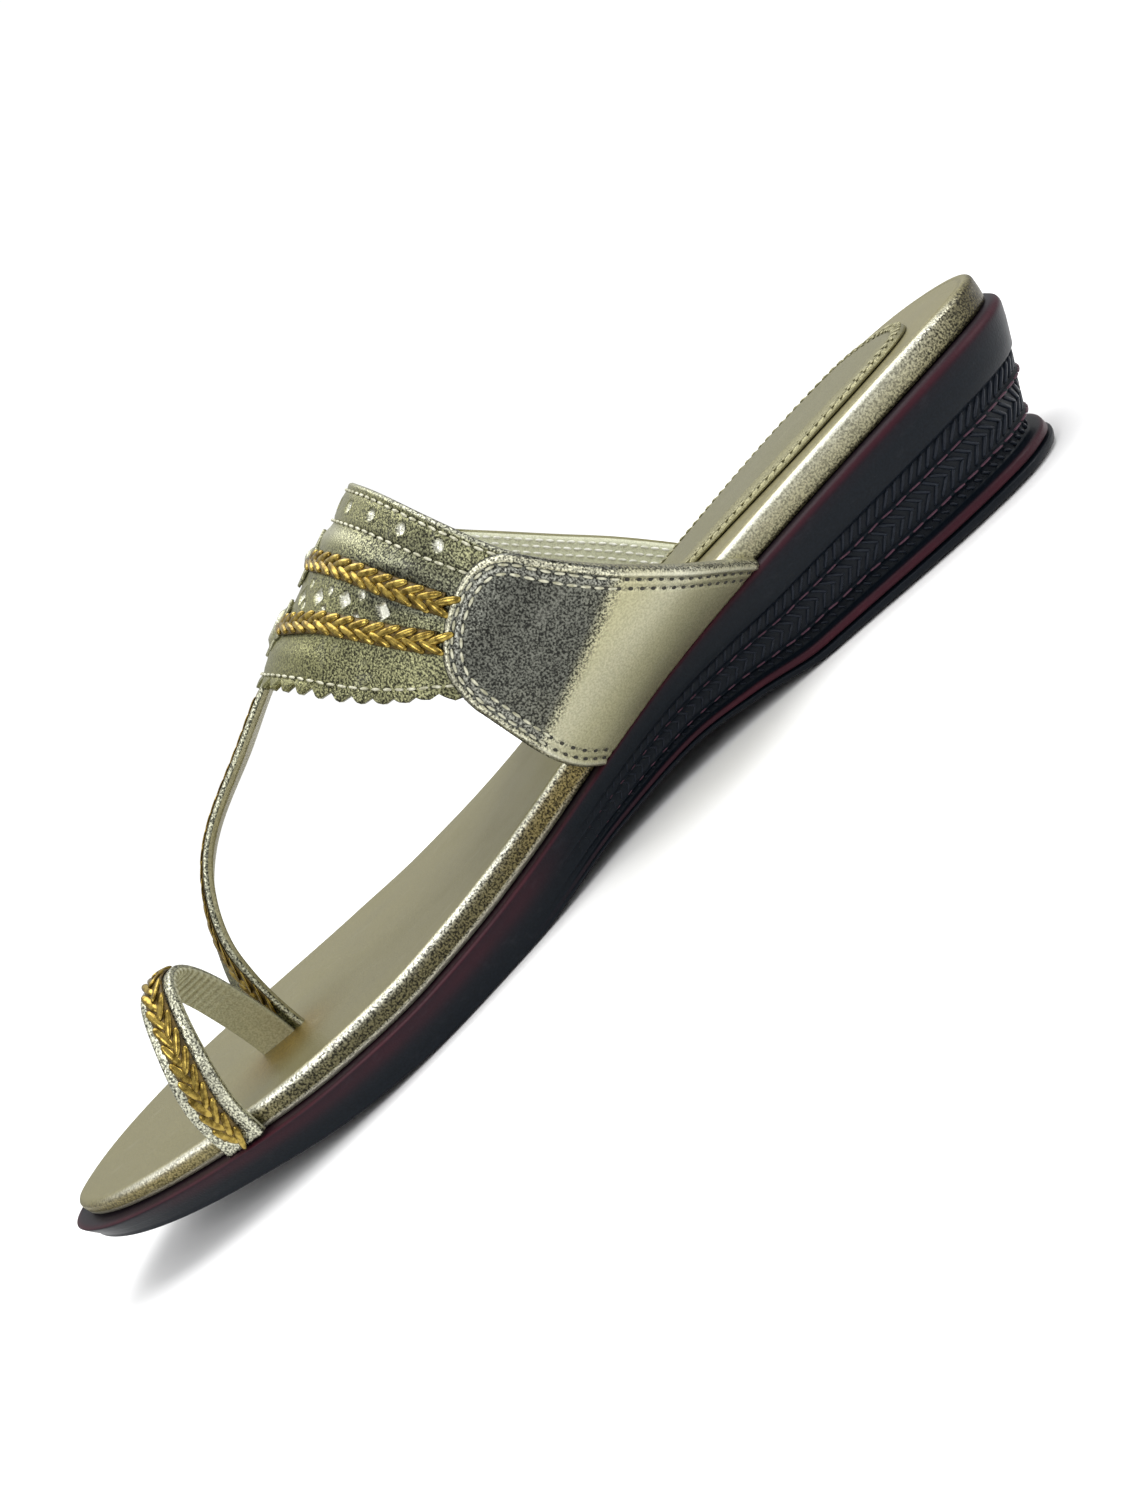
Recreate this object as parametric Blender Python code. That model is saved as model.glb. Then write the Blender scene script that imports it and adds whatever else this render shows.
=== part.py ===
"""Toe ring sandal, right shoe, at its real size in metres with +Z up.

The toe points to -Y and the big toe's side (medial) is +X. The origin is the middle of the
underside of the shoe's box, so that the sole stands on z = 0.

Lengths in the tables are shares of the named sizes that their headings give. "along" is always
the share of SOLE_LENGTH measured from the back of the heel towards the toe.
"""

import math
from typing import NamedTuple

import bpy
import numpy as np

# Outsole
SOLE_LENGTH = 0.250
BALL_WIDTH = 0.0905
HEEL_HEIGHT = 0.0345  # top of the insole above the floor, at the heel
BALL_HEIGHT = 0.0135  # the same at the ball of the foot
TOE_SPRING = 0.0135  # rise of the underside at the tip
ARCH_RISE = 0.0043  # rise of the underside at the waist
HEEL_UNDERCUT = 0.0086  # how far the foot of the heel stands in from its rim, at the back
RIM_ROUND = 0.0012
RIB_DEPTH = 0.0009
LIP_OUT = 0.0022

# Insole and heel pad
INSOLE_WALL = 0.0056
INSOLE_INSET = 0.0030
HEEL_MARGIN = 0.0019  # how much less the insole stands in at the back of the heel
INSOLE_ROUND = 0.0014
PAD_WALL = 0.0011
PAD_WIDTH = 0.041
PAD_ROUND = 0.0006

# Upper
VAMP_WALL = 0.0018
PANEL_STEP = 0.0009
INSTEP_HEIGHT = 0.0817  # back edge of the vamp at its crown, above the floor
POINT_HEIGHT = 0.0660  # the vamp's pinked point, above the floor
PINK_PITCH = 0.0056
PINK_DEPTH = 0.0023
STRAP_WIDTH = 0.0090
STRAP_WALL = 0.0018
RING_WIDTH = 0.0074
RING_RISE = 0.0257  # top of the ring above the insole
ROOT_DEPTH = 0.0030  # how far the straps go into the insole
DIAMOND_WIDTH = 0.0035  # the largest punched diamond, corner to corner
DIAMOND_DEPTH = 0.0007

# Plaited cord and medallions
BRAID_WIDTH = 0.0038
BRAID_HEIGHT = 0.0021
BRAID_PITCH = 0.0034
MEDALLION_WIDTH = 0.0103
MEDALLION_LENGTH = 0.0106
MEDALLION_WALL = 0.0013
MEDALLION_LOBE = 0.0007
STRAP_BRAID_END = 0.88  # share of the toe strap's length
RING_BRAID_START = 0.20  # share of the toe ring's length
RING_BRAID_END = 0.96

FIT_GAP = 0.0003

OUTLINE_STATIONS = 34  # along one side of the sole
MEDIAL, LATERAL = 1.0, -1.0
CROWN = 1.0  # "across" runs from 0 at the medial foot to 1 at the crown and 2 at the lateral foot


class PlanRow(NamedTuple):
    along: float
    medial: float  # share of BALL_WIDTH
    lateral: float  # share of BALL_WIDTH
    undercut: float  # share of HEEL_UNDERCUT


PLAN = (
    PlanRow(0.015, 0.000, 0.000, 1.00),
    PlanRow(0.024, 0.150, -0.175, 0.98),
    PlanRow(0.042, 0.243, -0.266, 0.90),
    PlanRow(0.069, 0.298, -0.315, 0.72),
    PlanRow(0.105, 0.327, -0.341, 0.52),
    PlanRow(0.20, 0.328, -0.350, 0.36),
    PlanRow(0.30, 0.297, -0.344, 0.34),
    PlanRow(0.40, 0.290, -0.360, 0.30),
    PlanRow(0.50, 0.332, -0.398, 0.24),
    PlanRow(0.60, 0.430, -0.458, 0.20),
    PlanRow(0.70, 0.517, -0.486, 0.18),
    PlanRow(0.77, 0.542, -0.465, 0.18),
    PlanRow(0.85, 0.527, -0.383, 0.18),
    PlanRow(0.90, 0.502, -0.305, 0.18),
    PlanRow(0.95, 0.447, -0.165, 0.18),
    PlanRow(0.98, 0.380, -0.020, 0.18),
    PlanRow(1.00, 0.242, 0.242, 0.18),
)


class HeightRow(NamedTuple):
    along: float
    wedge: float  # share of the heel's extra height over the ball
    ball: float  # share of BALL_HEIGHT
    spring: float  # share of TOE_SPRING
    arch: float  # share of ARCH_RISE
    board: float  # share of INSOLE_WALL


HEIGHTS = (
    HeightRow(0.00, 1.00, 1.00, 0.00, 0.00, 0.95),
    HeightRow(0.10, 0.95, 1.00, 0.00, 0.00, 1.00),
    HeightRow(0.20, 0.84, 1.00, 0.00, 0.00, 1.00),
    HeightRow(0.30, 0.69, 1.00, 0.00, 0.00, 1.00),
    HeightRow(0.36, 0.59, 1.00, 0.00, 0.60, 1.00),
    HeightRow(0.42, 0.47, 1.00, 0.00, 1.00, 1.00),
    HeightRow(0.50, 0.28, 1.00, 0.00, 0.70, 1.00),
    HeightRow(0.60, 0.09, 1.00, 0.00, 0.00, 0.97),
    HeightRow(0.67, 0.02, 1.00, 0.00, 0.00, 0.92),
    HeightRow(0.75, 0.00, 0.94, 0.09, 0.00, 0.86),
    HeightRow(0.85, 0.00, 0.80, 0.36, 0.00, 0.76),
    HeightRow(0.94, 0.00, 0.66, 0.70, 0.00, 0.64),
    HeightRow(1.00, 0.00, 0.52, 1.00, 0.00, 0.55),
)


class SideRow(NamedTuple):
    down: float  # share of the side's height, from the rim
    taper: float  # share of the undercut
    rounding: float  # share of RIM_ROUND
    rib: float  # share of RIB_DEPTH, gone by the ball
    lip: float  # share of LIP_OUT, outwards, gone by the ball


SIDE = (
    SideRow(0.00, 0.00, 1.0, 0.0, 0.0),
    SideRow(0.03, 0.00, 0.3, 0.0, 0.0),
    SideRow(0.08, 0.03, 0.0, 0.0, 0.0),
    SideRow(0.32, 0.32, 0.0, 0.0, 0.0),
    SideRow(0.35, 0.36, 0.0, 1.0, 0.0),
    SideRow(0.45, 0.50, 0.0, 1.0, 0.0),
    SideRow(0.475, 0.54, 0.0, 0.0, 0.0),
    SideRow(0.50, 0.58, 0.0, 1.0, 0.0),
    SideRow(0.69, 0.84, 0.0, 1.0, 0.0),
    SideRow(0.715, 0.88, 0.0, 0.0, 0.0),
    SideRow(0.74, 0.92, 0.0, 1.2, 0.0),
    SideRow(0.82, 1.00, 0.0, 1.2, 0.0),
    SideRow(0.845, 1.00, 0.0, 0.0, 0.8),
    SideRow(0.90, 1.00, 0.0, 0.0, 0.9),
    SideRow(0.915, 1.00, 0.0, 0.4, 0.5),
    SideRow(0.93, 1.00, 0.0, 0.0, 1.1),
    SideRow(0.98, 1.00, 0.2, 0.0, 1.0),
    SideRow(1.00, 1.00, 1.0, 0.0, 0.8),
)


class FadeRow(NamedTuple):
    along: float
    full: float  # how much of the side's ribs and lips is left


RIB_FADE = (
    FadeRow(0.00, 1.00),
    FadeRow(0.30, 1.00),
    FadeRow(0.45, 0.55),
    FadeRow(0.60, 0.00),
    FadeRow(1.00, 0.00),
)


class PadRow(NamedTuple):
    along: float
    medial: float  # share of PAD_WIDTH
    lateral: float  # share of PAD_WIDTH


PAD = (
    PadRow(0.077, -0.04, -0.04),
    PadRow(0.087, 0.24, -0.30),
    PadRow(0.100, 0.36, -0.43),
    PadRow(0.130, 0.45, -0.50),
    PadRow(0.170, 0.47, -0.53),
    PadRow(0.220, 0.43, -0.54),
    PadRow(0.280, 0.31, -0.54),
    PadRow(0.344, 0.16, -0.53),
    PadRow(0.400, 0.00, -0.49),
    PadRow(0.430, -0.25, -0.25),
)


class ArchRow(NamedTuple):
    """One station of an edge of the vamp's arch, from a foot at the insole to the crown."""

    across: float  # 0 at the foot, 1 at the crown
    rise: float  # share of the way up from the foot to the crown
    forward: float  # share of the way along from the foot to the crown
    inward: float  # share of the way in from the foot, negative where the arch bulges out


BACK_MEDIAL = (
    ArchRow(0.00, 0.000, 0.000, 0.000),
    ArchRow(0.10, 0.085, 0.142, -0.335),
    ArchRow(0.18, 0.152, 0.258, -0.595),
    ArchRow(0.25, 0.220, 0.362, -0.792),
    ArchRow(0.33, 0.305, 0.487, -0.955),
    ArchRow(0.42, 0.422, 0.631, -1.010),
    ArchRow(0.50, 0.531, 0.742, -0.940),
    ArchRow(0.60, 0.676, 0.836, -0.750),
    ArchRow(0.70, 0.803, 0.902, -0.410),
    ArchRow(0.80, 0.905, 0.951, 0.000),
    ArchRow(0.90, 0.975, 0.990, 0.480),
    ArchRow(1.00, 1.000, 1.000, 1.000),
)

BACK_LATERAL = (
    ArchRow(0.00, 0.000, 0.000, 0.000),
    ArchRow(0.10, 0.151, 0.158, -0.034),
    ArchRow(0.18, 0.272, 0.293, -0.072),
    ArchRow(0.25, 0.372, 0.416, -0.110),
    ArchRow(0.33, 0.488, 0.558, -0.138),
    ArchRow(0.42, 0.609, 0.707, -0.142),
    ArchRow(0.50, 0.714, 0.835, -0.108),
    ArchRow(0.60, 0.833, 0.935, 0.020),
    ArchRow(0.70, 0.920, 0.977, 0.238),
    ArchRow(0.80, 0.970, 0.993, 0.488),
    ArchRow(0.90, 0.993, 1.000, 0.750),
    ArchRow(1.00, 1.000, 1.000, 1.000),
)

FRONT_MEDIAL = (
    ArchRow(0.00, 0.000, 0.000, 0.000),
    ArchRow(0.10, 0.076, 0.089, -0.183),
    ArchRow(0.18, 0.169, 0.146, -0.310),
    ArchRow(0.25, 0.270, 0.180, -0.418),
    ArchRow(0.33, 0.391, 0.213, -0.507),
    ArchRow(0.42, 0.530, 0.275, -0.560),
    ArchRow(0.50, 0.605, 0.400, -0.490),
    ArchRow(0.60, 0.692, 0.565, -0.286),
    ArchRow(0.70, 0.792, 0.705, -0.080),
    ArchRow(0.80, 0.897, 0.825, 0.164),
    ArchRow(0.90, 0.972, 0.935, 0.540),
    ArchRow(1.00, 1.000, 1.000, 1.000),
)

FRONT_LATERAL = (
    ArchRow(0.00, 0.000, 0.000, 0.000),
    ArchRow(0.10, 0.116, 0.134, -0.039),
    ArchRow(0.18, 0.220, 0.226, -0.056),
    ArchRow(0.25, 0.320, 0.290, -0.053),
    ArchRow(0.33, 0.436, 0.361, -0.039),
    ArchRow(0.42, 0.550, 0.440, 0.018),
    ArchRow(0.50, 0.627, 0.544, 0.124),
    ArchRow(0.60, 0.711, 0.672, 0.278),
    ArchRow(0.70, 0.802, 0.793, 0.429),
    ArchRow(0.80, 0.894, 0.897, 0.591),
    ArchRow(0.90, 0.966, 0.968, 0.782),
    ArchRow(1.00, 1.000, 1.000, 1.000),
)

# Where the band's four corners and its crown stand
BACK_FOOT_MEDIAL_ALONG = 0.300
BACK_FOOT_LATERAL_ALONG = 0.282
FRONT_FOOT_MEDIAL_ALONG = 0.484
FRONT_FOOT_LATERAL_ALONG = 0.475
CROWN_BACK_ALONG = 0.480
CROWN_POINT_ALONG = 0.637
CROWN_BACK_ACROSS = 0.072  # share of BALL_WIDTH, towards the big toe
CROWN_POINT_ACROSS = 0.080

# The rounded front end of each side panel, as shares of the way from foot to crown
PANEL_ROOT_BACK = 0.545
PANEL_ROOT_FRONT = 0.425
PANEL_NOSE = 0.050
PANEL_COLUMNS = 8
STEP_WIDTH = 0.004
BAND_ROWS = (0.0, 0.03, 0.10, 0.20, 0.31, 0.43, 0.55, 0.67, 0.79, 0.89, 1.0)  # down the band
FOOT_BLEND = 0.26
HEEL_REACH = 0.12  # share of the length over which the heel's margin runs out


class StrapRow(NamedTuple):
    along: float
    across: float  # share of BALL_WIDTH
    height: float  # share of the strap's own rise above the insole at its root
    twist: float  # degrees, turning the strap's face towards the big toe


TOE_STRAP = (
    StrapRow(0.608, 0.094, 1.045, 0.0),
    StrapRow(0.637, 0.097, 0.986, 0.0),
    StrapRow(0.681, 0.103, 0.885, -4.0),
    StrapRow(0.745, 0.124, 0.730, 6.0),
    StrapRow(0.767, 0.136, 0.632, 14.0),
    StrapRow(0.792, 0.158, 0.428, 18.0),
    StrapRow(0.799, 0.171, 0.303, 25.0),
    StrapRow(0.802, 0.183, 0.150, 38.0),
    StrapRow(0.800, 0.191, 0.000, 46.0),
)


class RingRow(NamedTuple):
    along: float
    across: float  # share of the way from the ring's root at the strap to its medial foot
    height: float  # share of RING_RISE above the insole
    width: float  # share of RING_WIDTH


TOE_RING = (
    RingRow(0.807, 0.00, 0.00, 1.00),
    RingRow(0.807, 0.06, 0.20, 1.00),
    RingRow(0.807, 0.17, 0.49, 0.98),
    RingRow(0.807, 0.33, 0.79, 0.95),
    RingRow(0.808, 0.54, 0.98, 0.93),
    RingRow(0.809, 0.76, 0.97, 0.94),
    RingRow(0.814, 0.93, 0.75, 0.98),
    RingRow(0.822, 1.01, 0.46, 1.05),
    RingRow(0.830, 1.02, 0.18, 1.11),
    RingRow(0.833, 1.00, 0.00, 1.12),
)


class LaidRow(NamedTuple):
    """A laid cord's place on the vamp, as across and as the share from its back to its front edge."""

    across: float
    back_cord: float
    front_cord: float


LAID = (
    LaidRow(0.52, 0.385, 0.605),
    LaidRow(0.62, 0.380, 0.613),
    LaidRow(0.76, 0.378, 0.637),
    LaidRow(0.88, 0.383, 0.682),
    LaidRow(1.00, 0.390, 0.715),
)


class DiamondRow(NamedTuple):
    across: float
    down: float  # share from the vamp's back edge to its front edge
    size: float  # share of DIAMOND_WIDTH


DIAMONDS = (
    DiamondRow(0.910, 0.550, 1.00),
    DiamondRow(0.840, 0.532, 0.97),
    DiamondRow(0.762, 0.508, 0.94),
    DiamondRow(0.665, 0.500, 0.94),
)

MEDALLION_BACK_DOWN = 0.375
MEDALLION_FRONT_DOWN = 0.715
MEDALLION_LOBES = 11


def natural_spline(x, y, at):
    """Values at `at` of the natural cubic spline through the points (x, y)."""
    x = np.asarray(x, float)
    y = np.asarray(y, float)
    at = np.asarray(at, float)
    count = len(x)
    step = np.diff(x)
    slope = np.diff(y, axis=0) / step.reshape(-1, *[1] * (y.ndim - 1))
    matrix = np.eye(count)
    right = np.zeros_like(y)
    for i in range(1, count - 1):
        matrix[i, i - 1 : i + 2] = (step[i - 1], 2 * (step[i - 1] + step[i]), step[i])
        right[i] = 6 * (slope[i] - slope[i - 1])
    bend = np.linalg.solve(matrix, right)
    i = np.clip(np.searchsorted(x, at, side="right") - 1, 0, count - 2)
    shape = at.shape + (1,) * (y.ndim - 1)
    width = step[i].reshape(shape)
    right_share = (at.reshape(shape) - x[i].reshape(shape)) / width
    left_share = 1 - right_share
    lift = (left_share**3 - left_share) * bend[i] + (right_share**3 - right_share) * bend[i + 1]
    return left_share * y[i] + right_share * y[i + 1] + lift * width**2 / 6


def level_curve(x, y, at):
    """Values at `at` of a smooth curve through (x, y) that never passes beyond its neighbours."""
    x = np.asarray(x, float)
    y = np.asarray(y, float)
    at = np.asarray(at, float)
    step = np.diff(x)
    slope = np.diff(y) / step
    tangent = np.zeros_like(y)
    same_way = slope[:-1] * slope[1:] > 0
    harmonic = 2 * slope[:-1] * slope[1:] / np.where(same_way, slope[:-1] + slope[1:], 1)
    tangent[1:-1] = np.where(same_way, harmonic, 0)
    tangent[0] = slope[0]
    tangent[-1] = slope[-1]
    i = np.clip(np.searchsorted(x, at, side="right") - 1, 0, len(x) - 2)
    u = np.clip((at - x[i]) / step[i], 0, 1)
    start = (1 + 2 * u) * (1 - u) ** 2 * y[i] + u * (1 - u) ** 2 * step[i] * tangent[i]
    end = u * u * (3 - 2 * u) * y[i + 1] + u * u * (u - 1) * step[i] * tangent[i + 1]
    return start + end


def column(rows, name):
    """One named column of a table as an array."""
    return np.array([getattr(row, name) for row in rows])


def unit(vectors):
    """The vectors along the last axis, each made one long."""
    return vectors / np.maximum(np.linalg.norm(vectors, axis=-1, keepdims=True), 1e-12)


def y_at(along):
    """The Y of a share of the sole's length."""
    return SOLE_LENGTH * (0.5 - np.asarray(along, float))


def half_turn(along, start=0.0):
    """The angle round a side of an outline, which spaces stations closely at both its ends."""
    share = (np.asarray(along, float) - start) / (1 - start)
    return np.arccos(np.clip(1 - 2 * share, -1, 1))


def edge_x(along, side):
    """The outsole's edge at a share of its length, on one side."""
    name = "medial" if side > 0 else "lateral"
    back = PLAN[0].along
    turns = half_turn(column(PLAN, "along"), back)
    return BALL_WIDTH * natural_spline(turns, column(PLAN, name), half_turn(along, back))


def insole_x(along, side):
    """The insole's edge, which stands in from the outsole's."""
    return edge_x(along, side) - side * INSOLE_INSET


def insole_margin(along):
    """How far the insole stands in from the outsole, less at the back of the heel."""
    near_heel = np.clip(1 - np.asarray(along) / HEEL_REACH, 0, 1)
    return INSOLE_INSET - HEEL_MARGIN * near_heel**2


def underside_z(along):
    """Height of the outsole's underside above the floor."""
    spring = level_curve(column(HEIGHTS, "along"), column(HEIGHTS, "spring"), along)
    arch = level_curve(column(HEIGHTS, "along"), column(HEIGHTS, "arch"), along)
    return TOE_SPRING * spring + ARCH_RISE * arch


def footbed_z(along):
    """Height of the insole's top above the floor."""
    at = column(HEIGHTS, "along")
    wedge = natural_spline(at, column(HEIGHTS, "wedge"), along)
    ball = natural_spline(at, column(HEIGHTS, "ball"), along)
    spring = level_curve(at, column(HEIGHTS, "spring"), along)
    return (HEEL_HEIGHT - BALL_HEIGHT) * wedge + BALL_HEIGHT * ball + TOE_SPRING * spring


def board_wall(along):
    """Thickness of the insole."""
    return INSOLE_WALL * level_curve(column(HEIGHTS, "along"), column(HEIGHTS, "board"), along)


def rubber_top_z(along):
    """Height of the outsole's top, under the insole and its gap."""
    return footbed_z(along) - board_wall(along) - FIT_GAP


class Plan:
    """A closed outline seen from above, stations along one side and back along the other."""

    def __init__(self, along, medial_x, lateral_x):
        self.count = len(along)
        self.along = np.concatenate([along, along[-2:0:-1]])
        xs = np.concatenate([medial_x, lateral_x[-2:0:-1]])
        self.points = np.stack([xs, y_at(self.along)], axis=1)
        ahead = np.roll(self.points, -1, axis=0)
        behind = np.roll(self.points, 1, axis=0)
        run = unit(ahead - behind)
        self.inward = np.stack([run[:, 1], -run[:, 0]], axis=1)
        middle = self.points.mean(axis=0)
        if np.median(((middle - self.points) * self.inward).sum(axis=1)) < 0:
            self.inward = -self.inward

    def inset(self, distance):
        """The outline moved inwards by one distance, or by one at each point."""
        return self.points + self.inward * np.reshape(distance, (-1, 1))

    def strip_caps(self, first):
        """Faces that close a ring of this plan, in strips from side to side."""
        total = len(self.along)
        faces = [(first, first + 1, first + total - 1)]
        for i in range(1, self.count - 2):
            faces.append((first + i, first + i + 1, first + total - i - 1, first + total - i))
        last = self.count - 1
        faces.append((first + last - 1, first + last, first + last + 1))
        return faces


def sole_plan():
    """The outsole's outline."""
    back = PLAN[0].along
    along = back + (1 - back) * (1 - np.cos(np.linspace(0, math.pi, OUTLINE_STATIONS))) / 2
    return Plan(along, edge_x(along, MEDIAL), edge_x(along, LATERAL))


def material(name, colour, roughness, metallic):
    """A plain finish."""
    made = bpy.data.materials.new(name)
    made.use_nodes = True
    shader = made.node_tree.nodes["Principled BSDF"]
    shader.inputs["Base Color"].default_value = (*colour, 1.0)
    shader.inputs["Roughness"].default_value = roughness
    shader.inputs["Metallic"].default_value = metallic
    return made


def add_object(name, points, faces, finish, is_form=False):
    """A mesh object with its faces turned outwards, or a form that only cuts or joins another."""
    mesh = bpy.data.meshes.new(name)
    mesh.from_pydata([tuple(map(float, p)) for p in points], [], [tuple(map(int, f)) for f in faces])
    mesh.validate()
    corners = [mesh.vertices[i].co for i in range(len(mesh.vertices))]
    mesh.calc_loop_triangles()
    volume = 0.0
    for triangle in mesh.loop_triangles:
        a, b, c = (corners[i] for i in triangle.vertices)
        volume += a.dot(b.cross(c))
    if volume < 0:
        mesh.flip_normals()
    mesh.shade_smooth()
    mesh.set_sharp_from_angle(angle=math.radians(35))
    made = bpy.data.objects.new(name, mesh)
    bpy.context.scene.collection.objects.link(made)
    if is_form:
        made.hide_render = True
        made.display_type = "WIRE"
    if finish:
        mesh.materials.append(finish)
    return made


def ring_faces(rings, size):
    """Quads between rings of the same size, each joined to the next."""
    faces = []
    for level in range(rings - 1):
        for i in range(size):
            ahead = (i + 1) % size
            low = level * size
            faces.append((low + i, low + ahead, low + size + ahead, low + size + i))
    return faces


def plan_solid(name, plan, levels, finish):
    """A closed solid from levels of one plan, each an inset and a height at each point."""
    points = [np.column_stack([plan.inset(inset), height]) for inset, height in levels]
    size = len(plan.along)
    faces = ring_faces(len(levels), size)
    faces += [face[::-1] for face in plan.strip_caps(0)]
    faces += plan.strip_caps((len(levels) - 1) * size)
    return add_object(name, np.concatenate(points), faces, finish)


def make_outsole(plan, finish):
    """The rubber wedge, from its rim down its stepped side to its underside."""
    top = rubber_top_z(plan.along)
    bottom = underside_z(plan.along)
    undercut = HEEL_UNDERCUT * level_curve(column(PLAN, "along"), column(PLAN, "undercut"), plan.along)
    fade = level_curve(column(RIB_FADE, "along"), column(RIB_FADE, "full"), plan.along)
    levels = []
    for row in SIDE:
        inset = undercut * row.taper + RIM_ROUND * row.rounding
        inset = inset + fade * (RIB_DEPTH * row.rib - LIP_OUT * row.lip)
        levels.append((inset, top + (bottom - top) * row.down))
    return plan_solid("outsole", plan, levels, finish)


def make_insole(plan, finish):
    """The wrapped board, with its top edge rounded."""
    top = footbed_z(plan.along)
    under = rubber_top_z(plan.along) + FIT_GAP
    steps = 3
    margin = insole_margin(plan.along)
    levels = [(margin, under)]
    for i in range(steps + 1):
        turn = math.pi / 2 * i / steps
        inset = margin + INSOLE_ROUND * (1 - math.cos(turn))
        levels.append((inset, top - INSOLE_ROUND * (1 - math.sin(turn))))
    return plan_solid("insole", plan, levels, finish)


def pad_plan():
    """The heel pad's teardrop outline."""
    start, end = PAD[0].along, PAD[-1].along
    share = (1 - np.cos(np.linspace(0, math.pi, 20))) / 2
    along = start + (end - start) * share
    turns = half_turn((column(PAD, "along") - start) / (end - start))
    sides = [
        PAD_WIDTH * natural_spline(turns, column(PAD, name), half_turn(share))
        for name in ("medial", "lateral")
    ]
    return Plan(along, *sides)


def make_heel_pad(finish):
    """The thin sock under the heel, seated on the insole."""
    plan = pad_plan()
    seat = footbed_z(plan.along) + FIT_GAP
    flat = np.zeros(len(seat))
    levels = [
        (flat, seat),
        (flat, seat + PAD_WALL - PAD_ROUND),
        (flat + PAD_ROUND, seat + PAD_WALL),
    ]
    return plan_solid("heel_pad", plan, levels, finish)


def foot_point(along, side):
    """Where the outer face of the band meets the outsole, outside the insole's edge."""
    x = insole_x(along, side) + side * (FIT_GAP + VAMP_WALL)
    return np.stack([x, y_at(along), rubber_top_z(along) + FIT_GAP], axis=-1)


def arch_edge(medial_rows, medial_foot, lateral_rows, lateral_foot, crown):
    """The stations of one edge of the arch as points, medial foot first."""
    points = []
    for rows, foot in ((medial_rows, medial_foot), (lateral_rows[-2::-1], lateral_foot)):
        for row in rows:
            share = np.array([row.inward, row.forward, row.rise])
            points.append(foot + share * (crown - foot))
    return np.array(points)


class Band:
    """The vamp and its side panels as one curved wall, by across and by down from its back edge."""

    def __init__(self):
        crown_back = np.array([CROWN_BACK_ACROSS * BALL_WIDTH, y_at(CROWN_BACK_ALONG), INSTEP_HEIGHT])
        crown_point = np.array([CROWN_POINT_ACROSS * BALL_WIDTH, y_at(CROWN_POINT_ALONG), POINT_HEIGHT])
        half = column(BACK_MEDIAL, "across")
        self.stations = np.concatenate([half, 2 - half[-2::-1]])
        self.back = arch_edge(
            BACK_MEDIAL,
            foot_point(BACK_FOOT_MEDIAL_ALONG, MEDIAL),
            BACK_LATERAL,
            foot_point(BACK_FOOT_LATERAL_ALONG, LATERAL),
            crown_back,
        )
        self.front = arch_edge(
            FRONT_MEDIAL,
            foot_point(FRONT_FOOT_MEDIAL_ALONG, MEDIAL),
            FRONT_LATERAL,
            foot_point(FRONT_FOOT_LATERAL_ALONG, LATERAL),
            crown_point,
        )

    def full(self, across, down):
        """A point of the outer face, with its foot drawn to the insole's edge."""
        back = natural_spline(self.stations, self.back, across)
        front = natural_spline(self.stations, self.front, across)
        share = np.asarray(down)[..., None]
        point = back + (front - back) * share
        for side, foot, ends in (
            (MEDIAL, across, (BACK_FOOT_MEDIAL_ALONG, FRONT_FOOT_MEDIAL_ALONG)),
            (LATERAL, 2 - across, (BACK_FOOT_LATERAL_ALONG, FRONT_FOOT_LATERAL_ALONG)),
        ):
            along = ends[0] + (ends[1] - ends[0]) * np.asarray(down)
            end = 0 if side > 0 else -1
            ruled = self.back[end] + (self.front[end] - self.back[end]) * share
            weight = np.clip(1 - foot / FOOT_BLEND, 0, 1)[..., None] ** 2
            point = point + weight * (foot_point(along, side) - ruled)
        return point

    def place(self, across, down):
        """A point of the outer face, down running from the back edge to the front edge."""
        across, down = np.broadcast_arrays(np.asarray(across, float), np.asarray(down, float))
        return self.full(across, down)

    def frame(self, across, down):
        """Points of the outer face with their outward normals and their directions across."""
        nudge = 1e-3
        across, down = np.broadcast_arrays(np.asarray(across, float), np.asarray(down, float))
        over = self.full(across + nudge, down) - self.full(across - nudge, down)
        ahead = self.full(across, down + nudge) - self.full(across, down - nudge)
        normal = unit(np.cross(over, ahead))
        return self.full(across, down), normal, unit(over)

    def nose(self, down):
        """The front end of a side panel, rounded, as a share of the way from foot to crown."""
        down = np.asarray(down, float)
        bulge = np.sqrt(np.clip(1 - (2 * down - 1) ** 2, 0, 1))
        return PANEL_ROOT_BACK + (PANEL_ROOT_FRONT - PANEL_ROOT_BACK) * down + PANEL_NOSE * bulge


def teeth_stations(band):
    """Shares across the vamp's front edge at which its pinked teeth have their tips and valleys."""
    share = np.linspace(0, 1, 400)
    across = band.nose(1.0) + share * (2 - 2 * band.nose(1.0))
    edge = band.place(across, np.ones_like(across))
    run = np.concatenate([[0], np.cumsum(np.linalg.norm(np.diff(edge, axis=0), axis=1))])
    teeth = max(4, 2 * round(run[-1] / PINK_PITCH / 2))
    return np.interp(np.linspace(0, run[-1], 2 * teeth + 1), run, share)


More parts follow.
